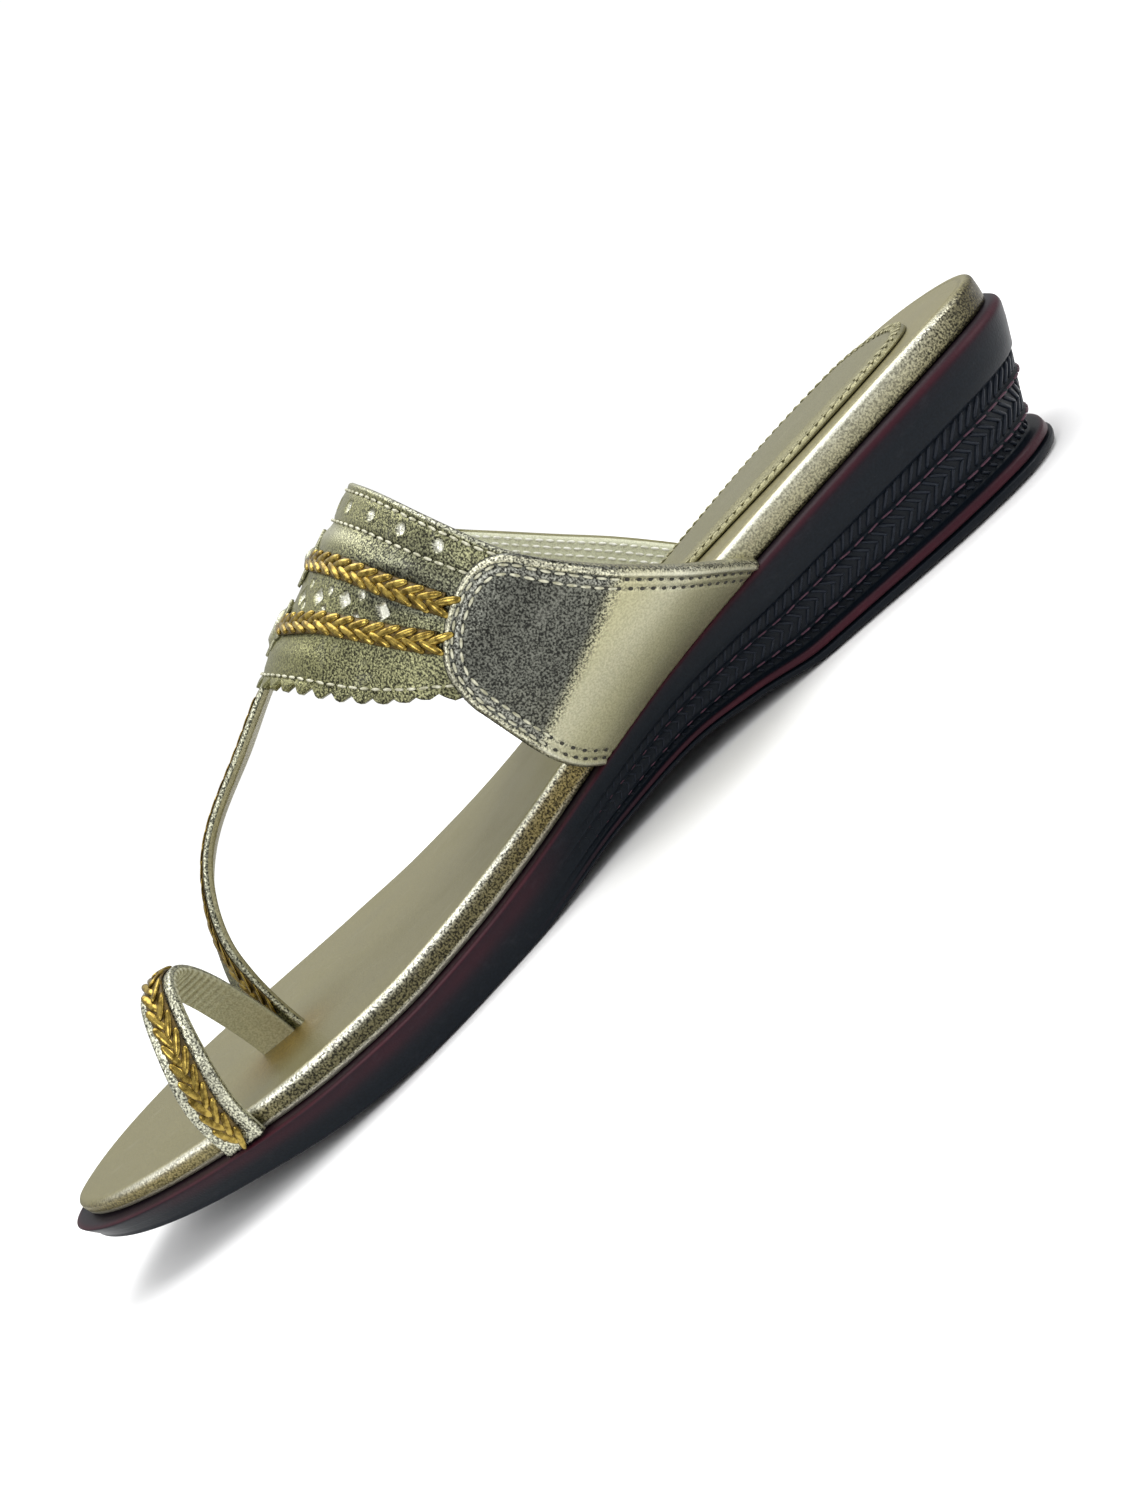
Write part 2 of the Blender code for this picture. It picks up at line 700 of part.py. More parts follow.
def band_grid(band):
    """The band's wall as grids of outer and inner points, columns across and rows down."""
    down = np.array(BAND_ROWS)
    teeth = teeth_stations(band)
    foot = np.linspace(0, 1, PANEL_COLUMNS)
    nose = band.nose(down)
    columns = []
    raised = []
    notched = []
    for share in foot:
        columns.append(nose * share)
        raised.append(PANEL_STEP)
        notched.append(False)
    inner_width = 2 - 2 * (nose + STEP_WIDTH)
    for i, share in enumerate(teeth):
        columns.append(nose + STEP_WIDTH + inner_width * share)
        raised.append(0.0)
        notched.append(i % 2 == 1)
    for share in foot[::-1]:
        columns.append(2 - nose * share)
        raised.append(PANEL_STEP)
        notched.append(False)
    across = np.array(columns)
    depth = np.tile(down, (len(across), 1))
    length = np.linalg.norm(band.place(across[:, -1], 1.0) - band.place(across[:, 0], 0.0), axis=1)
    depth[:, -1] -= np.where(notched, PINK_DEPTH / length, 0)
    point, normal, _ = band.frame(across, depth)
    outer = point + normal * np.array(raised)[:, None, None]
    inner = point - normal * VAMP_WALL
    return outer, inner


def wall_solid(name, outer, inner, finish, is_form=False):
    """A closed wall between two grids of points of the same size."""
    columns, rows = outer.shape[:2]
    points = np.concatenate([outer.reshape(-1, 3), inner.reshape(-1, 3)])
    half = columns * rows

    def at(i, j, face):
        return i * rows + j + face * half

    faces = []
    for i in range(columns - 1):
        for j in range(rows - 1):
            faces.append((at(i, j, 0), at(i + 1, j, 0), at(i + 1, j + 1, 0), at(i, j + 1, 0)))
            faces.append((at(i, j, 1), at(i, j + 1, 1), at(i + 1, j + 1, 1), at(i + 1, j, 1)))
    for i in range(columns - 1):
        last = rows - 1
        faces.append((at(i, 0, 0), at(i, 0, 1), at(i + 1, 0, 1), at(i + 1, 0, 0)))
        faces.append((at(i, last, 0), at(i + 1, last, 0), at(i + 1, last, 1), at(i, last, 1)))
    for j in range(rows - 1):
        last = columns - 1
        faces.append((at(0, j, 0), at(0, j + 1, 0), at(0, j + 1, 1), at(0, j, 1)))
        faces.append((at(last, j, 0), at(last, j, 1), at(last, j + 1, 1), at(last, j + 1, 0)))
    return add_object(name, points, faces, finish, is_form)


class Strap:
    """A flat strap that follows a curve through its own stations."""

    def __init__(self, stations, twists, widths, wall, samples):
        keys = np.concatenate([[0], np.cumsum(np.linalg.norm(np.diff(stations, axis=0), axis=1))])
        self.length = keys[-1]
        self.keys = keys
        self.stations = stations
        self.twists = np.radians(twists)
        self.widths = widths
        self.wall = wall
        self.samples = samples

    def frame(self, run):
        """Points of the outer face at the given lengths, with normals and width directions."""
        run = np.asarray(run, float)
        nudge = self.length * 1e-3
        point = natural_spline(self.keys, self.stations, run)
        ahead = natural_spline(self.keys, self.stations, np.minimum(run + nudge, self.length))
        behind = natural_spline(self.keys, self.stations, np.maximum(run - nudge, 0))
        tangent = unit(ahead - behind)
        twist = level_curve(self.keys, self.twists, run)
        guide = np.stack([np.cos(twist), np.sin(twist), 0 * twist], axis=-1)
        side = unit(guide - tangent * (guide * tangent).sum(axis=-1, keepdims=True))
        return point, unit(np.cross(tangent, side)), side

    def width_at(self, run):
        """The strap's width at the given lengths."""
        return level_curve(self.keys, self.widths, run)

    def solid(self, name, finish, is_form=False):
        """The strap's wall as a closed solid."""
        run = np.linspace(0, self.length, self.samples)
        point, normal, side = self.frame(run)
        across = side * self.width_at(run)[:, None]
        outer = np.stack([point + across * share for share in (-0.5, -0.25, 0.25, 0.5)], axis=1)
        inner = outer - normal[:, None, :] * self.wall
        return wall_solid(name, outer, inner, finish, is_form)


def toe_strap():
    """The strap from under the vamp's point down to its root in the insole."""
    root = footbed_z(TOE_STRAP[-1].along) - ROOT_DEPTH
    top = POINT_HEIGHT - VAMP_WALL / 3
    stations = []
    for row in TOE_STRAP:
        height = root + (top - root) * row.height
        stations.append((row.across * BALL_WIDTH, float(y_at(row.along)), height))
    widths = np.full(len(TOE_STRAP), STRAP_WIDTH)
    return Strap(np.array(stations), column(TOE_STRAP, "twist"), widths, STRAP_WALL, 26)


def toe_ring():
    """The ring for the big toe, from the strap's root to the insole's medial edge."""
    start = TOE_STRAP[-1].across * BALL_WIDTH
    end = float(insole_x(TOE_RING[-1].along, MEDIAL)) + FIT_GAP + STRAP_WALL
    stations = []
    last = len(TOE_RING) - 1
    for i, row in enumerate(TOE_RING):
        floor = footbed_z(row.along)
        if i == 0:
            height = floor - ROOT_DEPTH
        elif i == last:
            height = rubber_top_z(row.along) + FIT_GAP
        else:
            height = floor + RING_RISE * row.height
        stations.append((start + (end - start) * row.across, float(y_at(row.along)), float(height)))
    widths = RING_WIDTH * column(TOE_RING, "width")
    return RingStrap(np.array(stations), np.zeros(len(TOE_RING)), widths, STRAP_WALL, 34)


class RingStrap(Strap):
    """A strap whose width lies along the shoe and whose face turns outwards from the toe."""

    def frame(self, run):
        """Points of the outer face with normals and width directions."""
        run = np.asarray(run, float)
        nudge = self.length * 1e-3
        point = natural_spline(self.keys, self.stations, run)
        ahead = natural_spline(self.keys, self.stations, np.minimum(run + nudge, self.length))
        behind = natural_spline(self.keys, self.stations, np.maximum(run - nudge, 0))
        tangent = unit(ahead - behind)
        guide = np.zeros_like(tangent)
        guide[..., 1] = -1.0
        side = unit(guide - tangent * (guide * tangent).sum(axis=-1, keepdims=True))
        return point, unit(np.cross(side, tangent)), side


def root_slot(strap, root, name):
    """The hole in the insole for a strap's root, at a length from its start, wider by the gap."""
    base, out, _ = strap.frame(root)
    out = unit(np.array([out[0], out[1], 0.0]))
    width = np.array([-out[1], out[0], 0.0]) * (strap.width_at(root) / 2 + 3 * FIT_GAP)
    centre = base - out * strap.wall / 2
    reach = out * (strap.wall / 2 + 4 * FIT_GAP)
    drop = np.array([0, 0, -2 * FIT_GAP])
    rise = np.array([0, 0, 4 * ROOT_DEPTH])
    points = []
    for level in (drop, rise):
        for a, b in ((-1, -1), (1, -1), (1, 1), (-1, 1)):
            points.append(centre + level + reach * a + width * b)
    faces = [(0, 3, 2, 1), (4, 5, 6, 7), (0, 1, 5, 4), (1, 2, 6, 5), (2, 3, 7, 6), (3, 0, 4, 7)]
    return add_object(name, points, faces, None, is_form=True)


def cord_solid(name, point, normal, side, finish):
    """A flat plait laid on a path: two rows of strands that rise in turn, left and right."""
    section = (
        (-0.50, 0.00),
        (-0.48, 0.50),
        (-0.26, 1.00),
        (0.00, 0.50),
        (0.26, 1.00),
        (0.48, 0.50),
        (0.50, 0.00),
    )
    rings = []
    for i in range(len(point)):
        rows = []
        for over, up in section:
            swell = 1.0 if (i % 2 == 0) == (over < 0) or over == 0 else 0.78
            reach = side[i] * over * BRAID_WIDTH * (1 - 0.5 * (1 - swell))
            rows.append(point[i] + reach + normal[i] * (FIT_GAP + BRAID_HEIGHT * up * swell))
        rings.append(rows)
    size = len(section)
    faces = ring_faces(len(rings), size)
    faces.append(tuple(range(size))[::-1])
    faces.append(tuple(range((len(rings) - 1) * size, len(rings) * size)))
    return add_object(name, np.array(rings).reshape(-1, 3), faces, finish)


def evenly(path, count):
    """Stations of a path of points spaced evenly by length, as shares of its parameter."""
    run = np.concatenate([[0], np.cumsum(np.linalg.norm(np.diff(path, axis=0), axis=1))])
    return np.interp(np.linspace(0, run[-1], count), run, np.linspace(0, 1, len(path))), run[-1]


def vamp_braid(band, side_name, cord_name, name, finish):
    """One laid cord on the vamp, from beside its medallion to the side panel's front end."""
    down_of = column(LAID, cord_name)
    centre = down_of[-1]
    clear = (MEDALLION_WIDTH / 2 + MEDALLION_LOBE + FIT_GAP) / half_width(band, centre)
    inner = CROWN - clear

    def down(across):
        return level_curve(column(LAID, "across"), down_of, across)

    low = float(band.nose(down_of[0]))
    outer = low + STEP_WIDTH + (2.5 * FIT_GAP) / half_width(band, centre)
    across = np.linspace(outer, inner, 60)

    def folded(values):
        return values if side_name == "medial" else 2 - values

    path = band.place(folded(across), down(across))
    strands = 2 * max(3, round(evenly(path, 3)[1] / BRAID_PITCH)) + 1
    share, _ = evenly(path, strands)
    chosen = outer + (inner - outer) * share
    point, normal, _ = band.frame(folded(chosen), down(chosen))
    tangent = unit(np.gradient(point, axis=0))
    width = unit(np.cross(normal, tangent))
    if side_name != "medial":
        width = -width
    return cord_solid(name, point, normal, width, finish)


def half_width(band, down):
    """Length of the vamp from crown to foot at one share down, per share across near the crown."""
    near = band.place(np.array([CROWN - 0.02, CROWN + 0.02]), np.array([down, down]))
    return np.linalg.norm(near[1] - near[0]) / 0.04


def strap_braid(strap, start, end, name, finish):
    """The cord laid along a strap, between two lengths from its start."""
    strands = 2 * max(3, round((end - start) / BRAID_PITCH)) + 1
    point, normal, side = strap.frame(np.linspace(start, end, strands))
    return cord_solid(name, point, normal, side, finish)


def make_medallion(band, down, name, finish):
    """A scalloped leather piece on the crown, with a raised loop at its middle."""
    turns = np.linspace(0, 2 * math.pi, 3 * MEDALLION_LOBES, endpoint=False)
    lobe = MEDALLION_LOBE * np.cos(MEDALLION_LOBES * turns)
    crown, _, _ = band.frame(CROWN, down)
    per_across = half_width(band, down)
    length = np.linalg.norm(band.place(CROWN, 1.0) - band.place(CROWN, 0.0))
    rings_out = []
    rings_in = []
    for share in (1.0, 0.62, 0.25):
        reach_x = (MEDALLION_WIDTH / 2 + (lobe if share == 1.0 else 0)) * share
        reach_y = (MEDALLION_LENGTH / 2 + (lobe if share == 1.0 else 0)) * share
        across = CROWN + reach_x * np.cos(turns) / per_across
        depth = down + reach_y * np.sin(turns) / length
        point, normal, _ = band.frame(across, depth)
        lift = MEDALLION_WALL * (1.0 if share == 1.0 else 1.15 if share > 0.5 else 1.7)
        rings_in.append(point + normal * FIT_GAP)
        rings_out.append(point + normal * (FIT_GAP + lift))
    size = len(turns)
    rings = rings_in[::-1] + rings_out
    points = np.concatenate(rings)
    faces = ring_faces(len(rings), size)
    faces.append(tuple(range(size))[::-1])
    faces.append(tuple(range((len(rings) - 1) * size, len(rings) * size)))
    return add_object(name, points, faces, finish)


def diamond_cutters(band):
    """The tools that sink the punched diamonds into the vamp, as one form."""
    points = []
    faces = []
    box = ((0, 3, 2, 1), (4, 5, 6, 7), (0, 1, 5, 4), (1, 2, 6, 5), (2, 3, 7, 6), (3, 0, 4, 7))
    for row in DIAMONDS:
        for side in (MEDIAL, LATERAL):
            across = row.across if side > 0 else 2 - row.across
            point, normal, over = band.frame(across, row.down)
            ahead = unit(np.cross(over, normal))
            half = DIAMOND_WIDTH * row.size / 2
            first = len(points)
            for level in (-DIAMOND_DEPTH, DIAMOND_WIDTH):
                for a, b in ((-1, 0), (0, -1), (1, 0), (0, 1)):
                    points.append(point + normal * level + over * half * a + ahead * half * b)
            faces += [tuple(first + i for i in face) for face in box]
    return add_object("diamond_cutters", points, faces, None, is_form=True)


def boolean(target, tool, operation):
    """A live Boolean of one object with a form."""
    modifier = target.modifiers.new(f"{operation.lower()} {tool.name}", "BOOLEAN")
    modifier.operation = operation
    modifier.object = tool
    modifier.solver = "EXACT"


def centre_on_box(objects):
    """Moves every mesh so that the origin is the middle of the underside of the solids' box."""
    corners = np.array([v.co for o in objects if not o.hide_render for v in o.data.vertices])
    low, high = corners.min(axis=0), corners.max(axis=0)
    shift = ((low[0] + high[0]) / 2, (low[1] + high[1]) / 2, low[2])
    for made in objects:
        for vertex in made.data.vertices:
            vertex.co.x -= shift[0]
            vertex.co.y -= shift[1]
            vertex.co.z -= shift[2]


def main():
    """Clears the scene and builds every piece of the sandal."""
    for old in list(bpy.data.objects):
        bpy.data.objects.remove(old)
    rubber = material("black_rubber", (0.012, 0.016, 0.020), 0.45, 0.0)
    foil = material("champagne_foil", (0.52, 0.48, 0.33), 0.38, 0.75)
    pad_foil = material("olive_foil", (0.34, 0.31, 0.17), 0.42, 0.7)
    upper_foil = material("silver_gold_foil", (0.55, 0.52, 0.42), 0.30, 0.85)
    plait_gold = material("plait_gold", (0.62, 0.43, 0.10), 0.32, 0.9)

    plan = sole_plan()
    outsole = make_outsole(plan, rubber)
    insole = make_insole(plan, foil)
    heel_pad = make_heel_pad(pad_foil)

    band = Band()
    strap = toe_strap()
    ring = toe_ring()
    outer, inner = band_grid(band)
    upper = wall_solid("upper", outer, inner, upper_foil)
    strap_form = strap.solid("toe_strap_form", None, is_form=True)
    ring_form = ring.solid("toe_ring_form", None, is_form=True)
    diamonds = diamond_cutters(band)
    boolean(upper, diamonds, "DIFFERENCE")
    boolean(upper, strap_form, "UNION")
    boolean(upper, ring_form, "UNION")

    strap_slot = root_slot(strap, strap.length, "strap_slot")
    ring_slot = root_slot(ring, 0.0, "ring_slot")
    boolean(insole, strap_slot, "DIFFERENCE")
    boolean(insole, ring_slot, "DIFFERENCE")

    made = [outsole, insole, heel_pad, upper, strap_form, ring_form, diamonds, strap_slot, ring_slot]
    for cord in ("back_cord", "front_cord"):
        for side in ("medial", "lateral"):
            name = f"braid_{cord.split('_')[0]}_{side}"
            made.append(vamp_braid(band, side, cord, name, plait_gold))
    strap_start = strap.keys[1] + PINK_DEPTH
    strap_end = STRAP_BRAID_END * strap.length
    ring_ends = (RING_BRAID_START * ring.length, RING_BRAID_END * ring.length)
    made.append(strap_braid(strap, strap_start, strap_end, "braid_toe_strap", plait_gold))
    made.append(strap_braid(ring, *ring_ends, "braid_toe_ring", plait_gold))
    made.append(make_medallion(band, MEDALLION_BACK_DOWN, "medallion_back", upper_foil))
    made.append(make_medallion(band, MEDALLION_FRONT_DOWN, "medallion_front", upper_foil))
    centre_on_box(made)


main()
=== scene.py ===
"""Toe ring sandal, right shoe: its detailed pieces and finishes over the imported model.

The forms of the sole, the band over the instep and the two straps are worked out from the same
shares as the solids, at a finer step. "along" is the share of the sole's length measured from the
back of the heel. "across" on the band runs from 0 at the medial foot to 1 at the crown and 2 at
the lateral foot, and "down" from its back edge to its front edge.
"""

import logging
import math
from dataclasses import dataclass, field
from enum import Enum
from typing import Callable, NamedTuple, Optional, Sequence

import bpy
import numpy as np
from mathutils import Matrix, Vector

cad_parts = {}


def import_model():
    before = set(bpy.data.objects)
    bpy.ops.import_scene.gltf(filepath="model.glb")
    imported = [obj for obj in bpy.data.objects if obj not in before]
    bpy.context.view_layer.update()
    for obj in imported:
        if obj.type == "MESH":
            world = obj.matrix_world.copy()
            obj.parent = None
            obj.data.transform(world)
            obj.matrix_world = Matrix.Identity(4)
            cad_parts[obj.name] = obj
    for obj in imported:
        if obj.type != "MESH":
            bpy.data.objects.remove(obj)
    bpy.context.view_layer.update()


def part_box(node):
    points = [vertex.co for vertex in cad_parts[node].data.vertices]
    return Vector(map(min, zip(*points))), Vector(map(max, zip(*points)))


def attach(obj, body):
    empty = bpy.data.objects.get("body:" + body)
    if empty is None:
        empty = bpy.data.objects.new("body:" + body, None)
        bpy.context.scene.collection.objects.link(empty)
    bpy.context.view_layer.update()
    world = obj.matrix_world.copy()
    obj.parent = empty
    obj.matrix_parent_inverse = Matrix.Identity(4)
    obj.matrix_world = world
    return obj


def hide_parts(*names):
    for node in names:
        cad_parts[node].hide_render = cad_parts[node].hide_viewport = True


LOG = logging.getLogger("sandal")
Array = np.ndarray


class Side(Enum):
    """The two sides of the shoe, with the sign of X on each."""

    MEDIAL = 1.0
    LATERAL = -1.0

    def across(self, half: Array) -> Array:
        """Shares across the band on this side, from those on its medial half."""
        return half if self is Side.MEDIAL else 2 - half


class Cord(Enum):
    """The two plaited cords laid over the vamp."""

    BACK = "back"
    FRONT = "front"


def table(kind: type, *rows: tuple) -> tuple:
    """A table, each of its rows with the names of the columns."""
    return tuple(kind(*row) for row in rows)


class PlanRow(NamedTuple):
    """The outsole's edge at one station, as shares of the ball's width and of the heel's undercut."""

    along: float
    medial: float
    lateral: float
    undercut: float


PLAN = table(
    PlanRow,
    (0.015, 0.0, 0.0, 1.0),
    (0.024, 0.15, -0.175, 0.98),
    (0.042, 0.243, -0.266, 0.9),
    (0.069, 0.298, -0.315, 0.72),
    (0.105, 0.327, -0.341, 0.52),
    (0.2, 0.328, -0.35, 0.36),
    (0.3, 0.297, -0.344, 0.34),
    (0.4, 0.29, -0.36, 0.3),
    (0.5, 0.332, -0.398, 0.24),
    (0.6, 0.43, -0.458, 0.2),
    (0.7, 0.517, -0.486, 0.18),
    (0.77, 0.542, -0.465, 0.18),
    (0.85, 0.527, -0.383, 0.18),
    (0.9, 0.502, -0.305, 0.18),
    (0.95, 0.447, -0.165, 0.18),
    (0.98, 0.38, -0.02, 0.18),
    (1.0, 0.242, 0.242, 0.18),
)


class HeightRow(NamedTuple):
    """The sole's heights at one station, as shares of the sizes of the same names."""

    along: float
    wedge: float
    ball: float
    spring: float
    arch: float
    board: float


HEIGHTS = table(
    HeightRow,
    (0.0, 1.0, 1.0, 0.0, 0.0, 0.95),
    (0.1, 0.95, 1.0, 0.0, 0.0, 1.0),
    (0.2, 0.84, 1.0, 0.0, 0.0, 1.0),
    (0.3, 0.69, 1.0, 0.0, 0.0, 1.0),
    (0.36, 0.59, 1.0, 0.0, 0.6, 1.0),
    (0.42, 0.47, 1.0, 0.0, 1.0, 1.0),
    (0.5, 0.28, 1.0, 0.0, 0.7, 1.0),
    (0.6, 0.09, 1.0, 0.0, 0.0, 0.97),
    (0.67, 0.02, 1.0, 0.0, 0.0, 0.92),
    (0.75, 0.0, 0.94, 0.09, 0.0, 0.86),
    (0.85, 0.0, 0.8, 0.36, 0.0, 0.76),
    (0.94, 0.0, 0.66, 0.7, 0.0, 0.64),
    (1.0, 0.0, 0.52, 1.0, 0.0, 0.55),
)


class SideRow(NamedTuple):
    """One level of the outsole's side, from the rim down, with its share of each relief."""

    down: float
    taper: float
    rounding: float
    rib: float
    lip: float


SIDE = table(
    SideRow,
    (0.0, 0.0, 1.0, 0.0, 0.0),
    (0.03, 0.0, 0.3, 0.0, 0.0),
    (0.08, 0.03, 0.0, 0.0, 0.0),
    (0.32, 0.32, 0.0, 0.0, 0.0),
    (0.35, 0.36, 0.0, 1.0, 0.0),
    (0.45, 0.5, 0.0, 1.0, 0.0),
    (0.475, 0.54, 0.0, 0.0, 0.0),
    (0.5, 0.58, 0.0, 1.0, 0.0),
    (0.69, 0.84, 0.0, 1.0, 0.0),
    (0.715, 0.88, 0.0, 0.0, 0.0),
    (0.74, 0.92, 0.0, 1.2, 0.0),
    (0.82, 1.0, 0.0, 1.2, 0.0),
    (0.845, 1.0, 0.0, 0.0, 0.8),
    (0.9, 1.0, 0.0, 0.0, 0.9),
    (0.915, 1.0, 0.0, 0.4, 0.5),
    (0.93, 1.0, 0.0, 0.0, 1.1),
    (0.98, 1.0, 0.2, 0.0, 1.0),
    (1.0, 1.0, 1.0, 0.0, 0.8),
)

RIB_FADE = ((0.00, 1.00), (0.30, 1.00), (0.45, 0.55), (0.60, 0.00), (1.00, 0.00))


class PadRow(NamedTuple):
    """The heel pad's edge at one station, as shares of the pad's width."""

    along: float
    medial: float
    lateral: float


PAD = table(
    PadRow,
    (0.077, -0.04, -0.04),
    (0.087, 0.24, -0.3),
    (0.1, 0.36, -0.43),
    (0.13, 0.45, -0.5),
    (0.17, 0.47, -0.53),
    (0.22, 0.43, -0.54),
    (0.28, 0.31, -0.54),
    (0.344, 0.16, -0.53),
    (0.4, 0.0, -0.49),
    (0.43, -0.25, -0.25),
)


class ArchRow(NamedTuple):
    """One station of an edge of the band, from a foot at the insole to the crown."""

    across: float
    rise: float
    forward: float
    inward: float


ARCH_ACROSS = (0.00, 0.10, 0.18, 0.25, 0.33, 0.42, 0.50, 0.60, 0.70, 0.80, 0.90, 1.00)


def arch(*rows: tuple) -> tuple[ArchRow, ...]:
    """The stations of one edge of the band."""
    return tuple(ArchRow(across, *row) for across, row in zip(ARCH_ACROSS, rows))


BACK_MEDIAL = arch(
    (0.0, 0.0, 0.0),
    (0.085, 0.142, -0.335),
    (0.152, 0.258, -0.595),
    (0.22, 0.362, -0.792),
    (0.305, 0.487, -0.955),
    (0.422, 0.631, -1.01),
    (0.531, 0.742, -0.94),
    (0.676, 0.836, -0.75),
    (0.803, 0.902, -0.41),
    (0.905, 0.951, 0.0),
    (0.975, 0.99, 0.48),
    (1.0, 1.0, 1.0),
)

BACK_LATERAL = arch(
    (0.0, 0.0, 0.0),
    (0.151, 0.158, -0.034),
    (0.272, 0.293, -0.072),
    (0.372, 0.416, -0.11),
    (0.488, 0.558, -0.138),
    (0.609, 0.707, -0.142),
    (0.714, 0.835, -0.108),
    (0.833, 0.935, 0.02),
    (0.92, 0.977, 0.238),
    (0.97, 0.993, 0.488),
    (0.993, 1.0, 0.75),
    (1.0, 1.0, 1.0),
)

FRONT_MEDIAL = arch(
    (0.0, 0.0, 0.0),
    (0.076, 0.089, -0.183),
    (0.169, 0.146, -0.31),
    (0.27, 0.18, -0.418),
    (0.391, 0.213, -0.507),
    (0.53, 0.275, -0.56),
    (0.605, 0.4, -0.49),
    (0.692, 0.565, -0.286),
    (0.792, 0.705, -0.08),
    (0.897, 0.825, 0.164),
    (0.972, 0.935, 0.54),
    (1.0, 1.0, 1.0),
)

FRONT_LATERAL = arch(
    (0.0, 0.0, 0.0),
    (0.116, 0.134, -0.039),
    (0.22, 0.226, -0.056),
    (0.32, 0.29, -0.053),
    (0.436, 0.361, -0.039),
    (0.55, 0.44, 0.018),
    (0.627, 0.544, 0.124),
    (0.711, 0.672, 0.278),
    (0.802, 0.793, 0.429),
    (0.894, 0.897, 0.591),
    (0.966, 0.968, 0.782),
    (1.0, 1.0, 1.0),
)


class StrapRow(NamedTuple):
    """One station of the toe strap: across is a share of the ball's width, height of its rise."""

    along: float
    across: float
    height: float
    twist: float


TOE_STRAP = table(
    StrapRow,
    (0.608, 0.094, 1.045, 0.0),
    (0.637, 0.097, 0.986, 0.0),
    (0.681, 0.103, 0.885, -4.0),
    (0.745, 0.124, 0.73, 6.0),
    (0.767, 0.136, 0.632, 14.0),
    (0.792, 0.158, 0.428, 28.0),
    (0.799, 0.171, 0.303, 42.0),
    (0.802, 0.183, 0.15, 57.0),
    (0.8, 0.191, 0.0, 64.0),
)


class RingRow(NamedTuple):
    """One station of the toe ring, from its root at the strap to its foot at the medial edge."""

    along: float
    across: float
    height: float
    width: float


TOE_RING = table(
    RingRow,
    (0.807, 0.0, 0.0, 1.0),
    (0.807, 0.06, 0.2, 1.0),
    (0.807, 0.17, 0.49, 0.98),
    (0.807, 0.33, 0.79, 0.95),
    (0.808, 0.54, 0.98, 0.93),
    (0.809, 0.76, 0.97, 0.94),
    (0.814, 0.93, 0.75, 0.98),
    (0.822, 1.01, 0.46, 1.05),
    (0.83, 1.02, 0.18, 1.11),
    (0.833, 1.0, 0.0, 1.12),
)


class LaidRow(NamedTuple):
    """A laid cord's place on the vamp, as across and as the share from its back to its front."""

    across: float
    back: float
    front: float


LAID = table(
    LaidRow,
    (0.52, 0.385, 0.605),
    (0.62, 0.38, 0.613),
    (0.76, 0.378, 0.637),
    (0.88, 0.383, 0.682),
    (1.0, 0.39, 0.715),
)


class Punch(NamedTuple):
    """One punched hole of the vamp's half: its place, its size in metres, and whether a diamond."""

    across: float
    down: float
    size: float
    diamond: bool


HOLES = table(
    Punch,
    (0.91, 0.55, 0.0035, True),
    (0.84, 0.532, 0.0034, True),
    (0.762, 0.508, 0.0033, True),
    (0.665, 0.5, 0.0033, True),
    (0.885, 0.48, 0.0014, False),
    (0.81, 0.49, 0.0014, False),
    (0.725, 0.46, 0.0015, False),
    (0.885, 0.585, 0.0014, False),
    (0.81, 0.585, 0.0014, False),
    (0.72, 0.567, 0.0015, False),
)


def natural_spline(x: Array, y: Array, at: Array) -> Array:
    """The natural cubic spline through the points (x, y).

    Args:
        x: Stations, rising.
        y: Values at the stations, one row each.
        at: Where the curve is read.

    Returns:
        The values there.
    """
    x = np.asarray(x, float)
    y = np.asarray(y, float)
    at = np.asarray(at, float)
    count = len(x)
    step = np.diff(x)
    slope = np.diff(y, axis=0) / step.reshape(-1, *[1] * (y.ndim - 1))
    matrix = np.eye(count)
    right = np.zeros_like(y)
    for i in range(1, count - 1):
        matrix[i, i - 1 : i + 2] = (step[i - 1], 2 * (step[i - 1] + step[i]), step[i])
        right[i] = 6 * (slope[i] - slope[i - 1])
    bend = np.linalg.solve(matrix, right)
    i = np.clip(np.searchsorted(x, at, side="right") - 1, 0, count - 2)
    shape = at.shape + (1,) * (y.ndim - 1)
    width = step[i].reshape(shape)
    ahead = (at.reshape(shape) - x[i].reshape(shape)) / width
    behind = 1 - ahead
    lift = (behind**3 - behind) * bend[i] + (ahead**3 - ahead) * bend[i + 1]
    return behind * y[i] + ahead * y[i + 1] + lift * width**2 / 6


def level_curve(x: Sequence[float], y: Sequence[float], at: Array) -> Array:
    """A smooth curve through the points (x, y) that never passes beyond its neighbours.

    Args:
        x: Stations, rising.
        y: Values at the stations.
        at: Where the curve is read.

    Returns:
        The values there.
    """
    x = np.asarray(x, float)
    y = np.asarray(y, float)
    at = np.asarray(at, float)
    step = np.diff(x)
    slope = np.diff(y) / step
    tangent = np.zeros_like(y)
    same_way = slope[:-1] * slope[1:] > 0
    harmonic = 2 * slope[:-1] * slope[1:] / np.where(same_way, slope[:-1] + slope[1:], 1)
    tangent[1:-1] = np.where(same_way, harmonic, 0)
    tangent[0] = slope[0]
    tangent[-1] = slope[-1]
    i = np.clip(np.searchsorted(x, at, side="right") - 1, 0, len(x) - 2)
    u = np.clip((at - x[i]) / step[i], 0, 1)
    start = (1 + 2 * u) * (1 - u) ** 2 * y[i] + u * (1 - u) ** 2 * step[i] * tangent[i]
    end = u * u * (3 - 2 * u) * y[i + 1] + u * u * (u - 1) * step[i] * tangent[i + 1]
    return start + end


def column(rows: Sequence[NamedTuple], name: str) -> Array:
    """One named column of a table."""
    return np.array([getattr(row, name) for row in rows])


def unit(vectors: Array) -> Array:
    """The vectors along the last axis, each made one long."""
    return vectors / np.maximum(np.linalg.norm(vectors, axis=-1, keepdims=True), 1e-12)


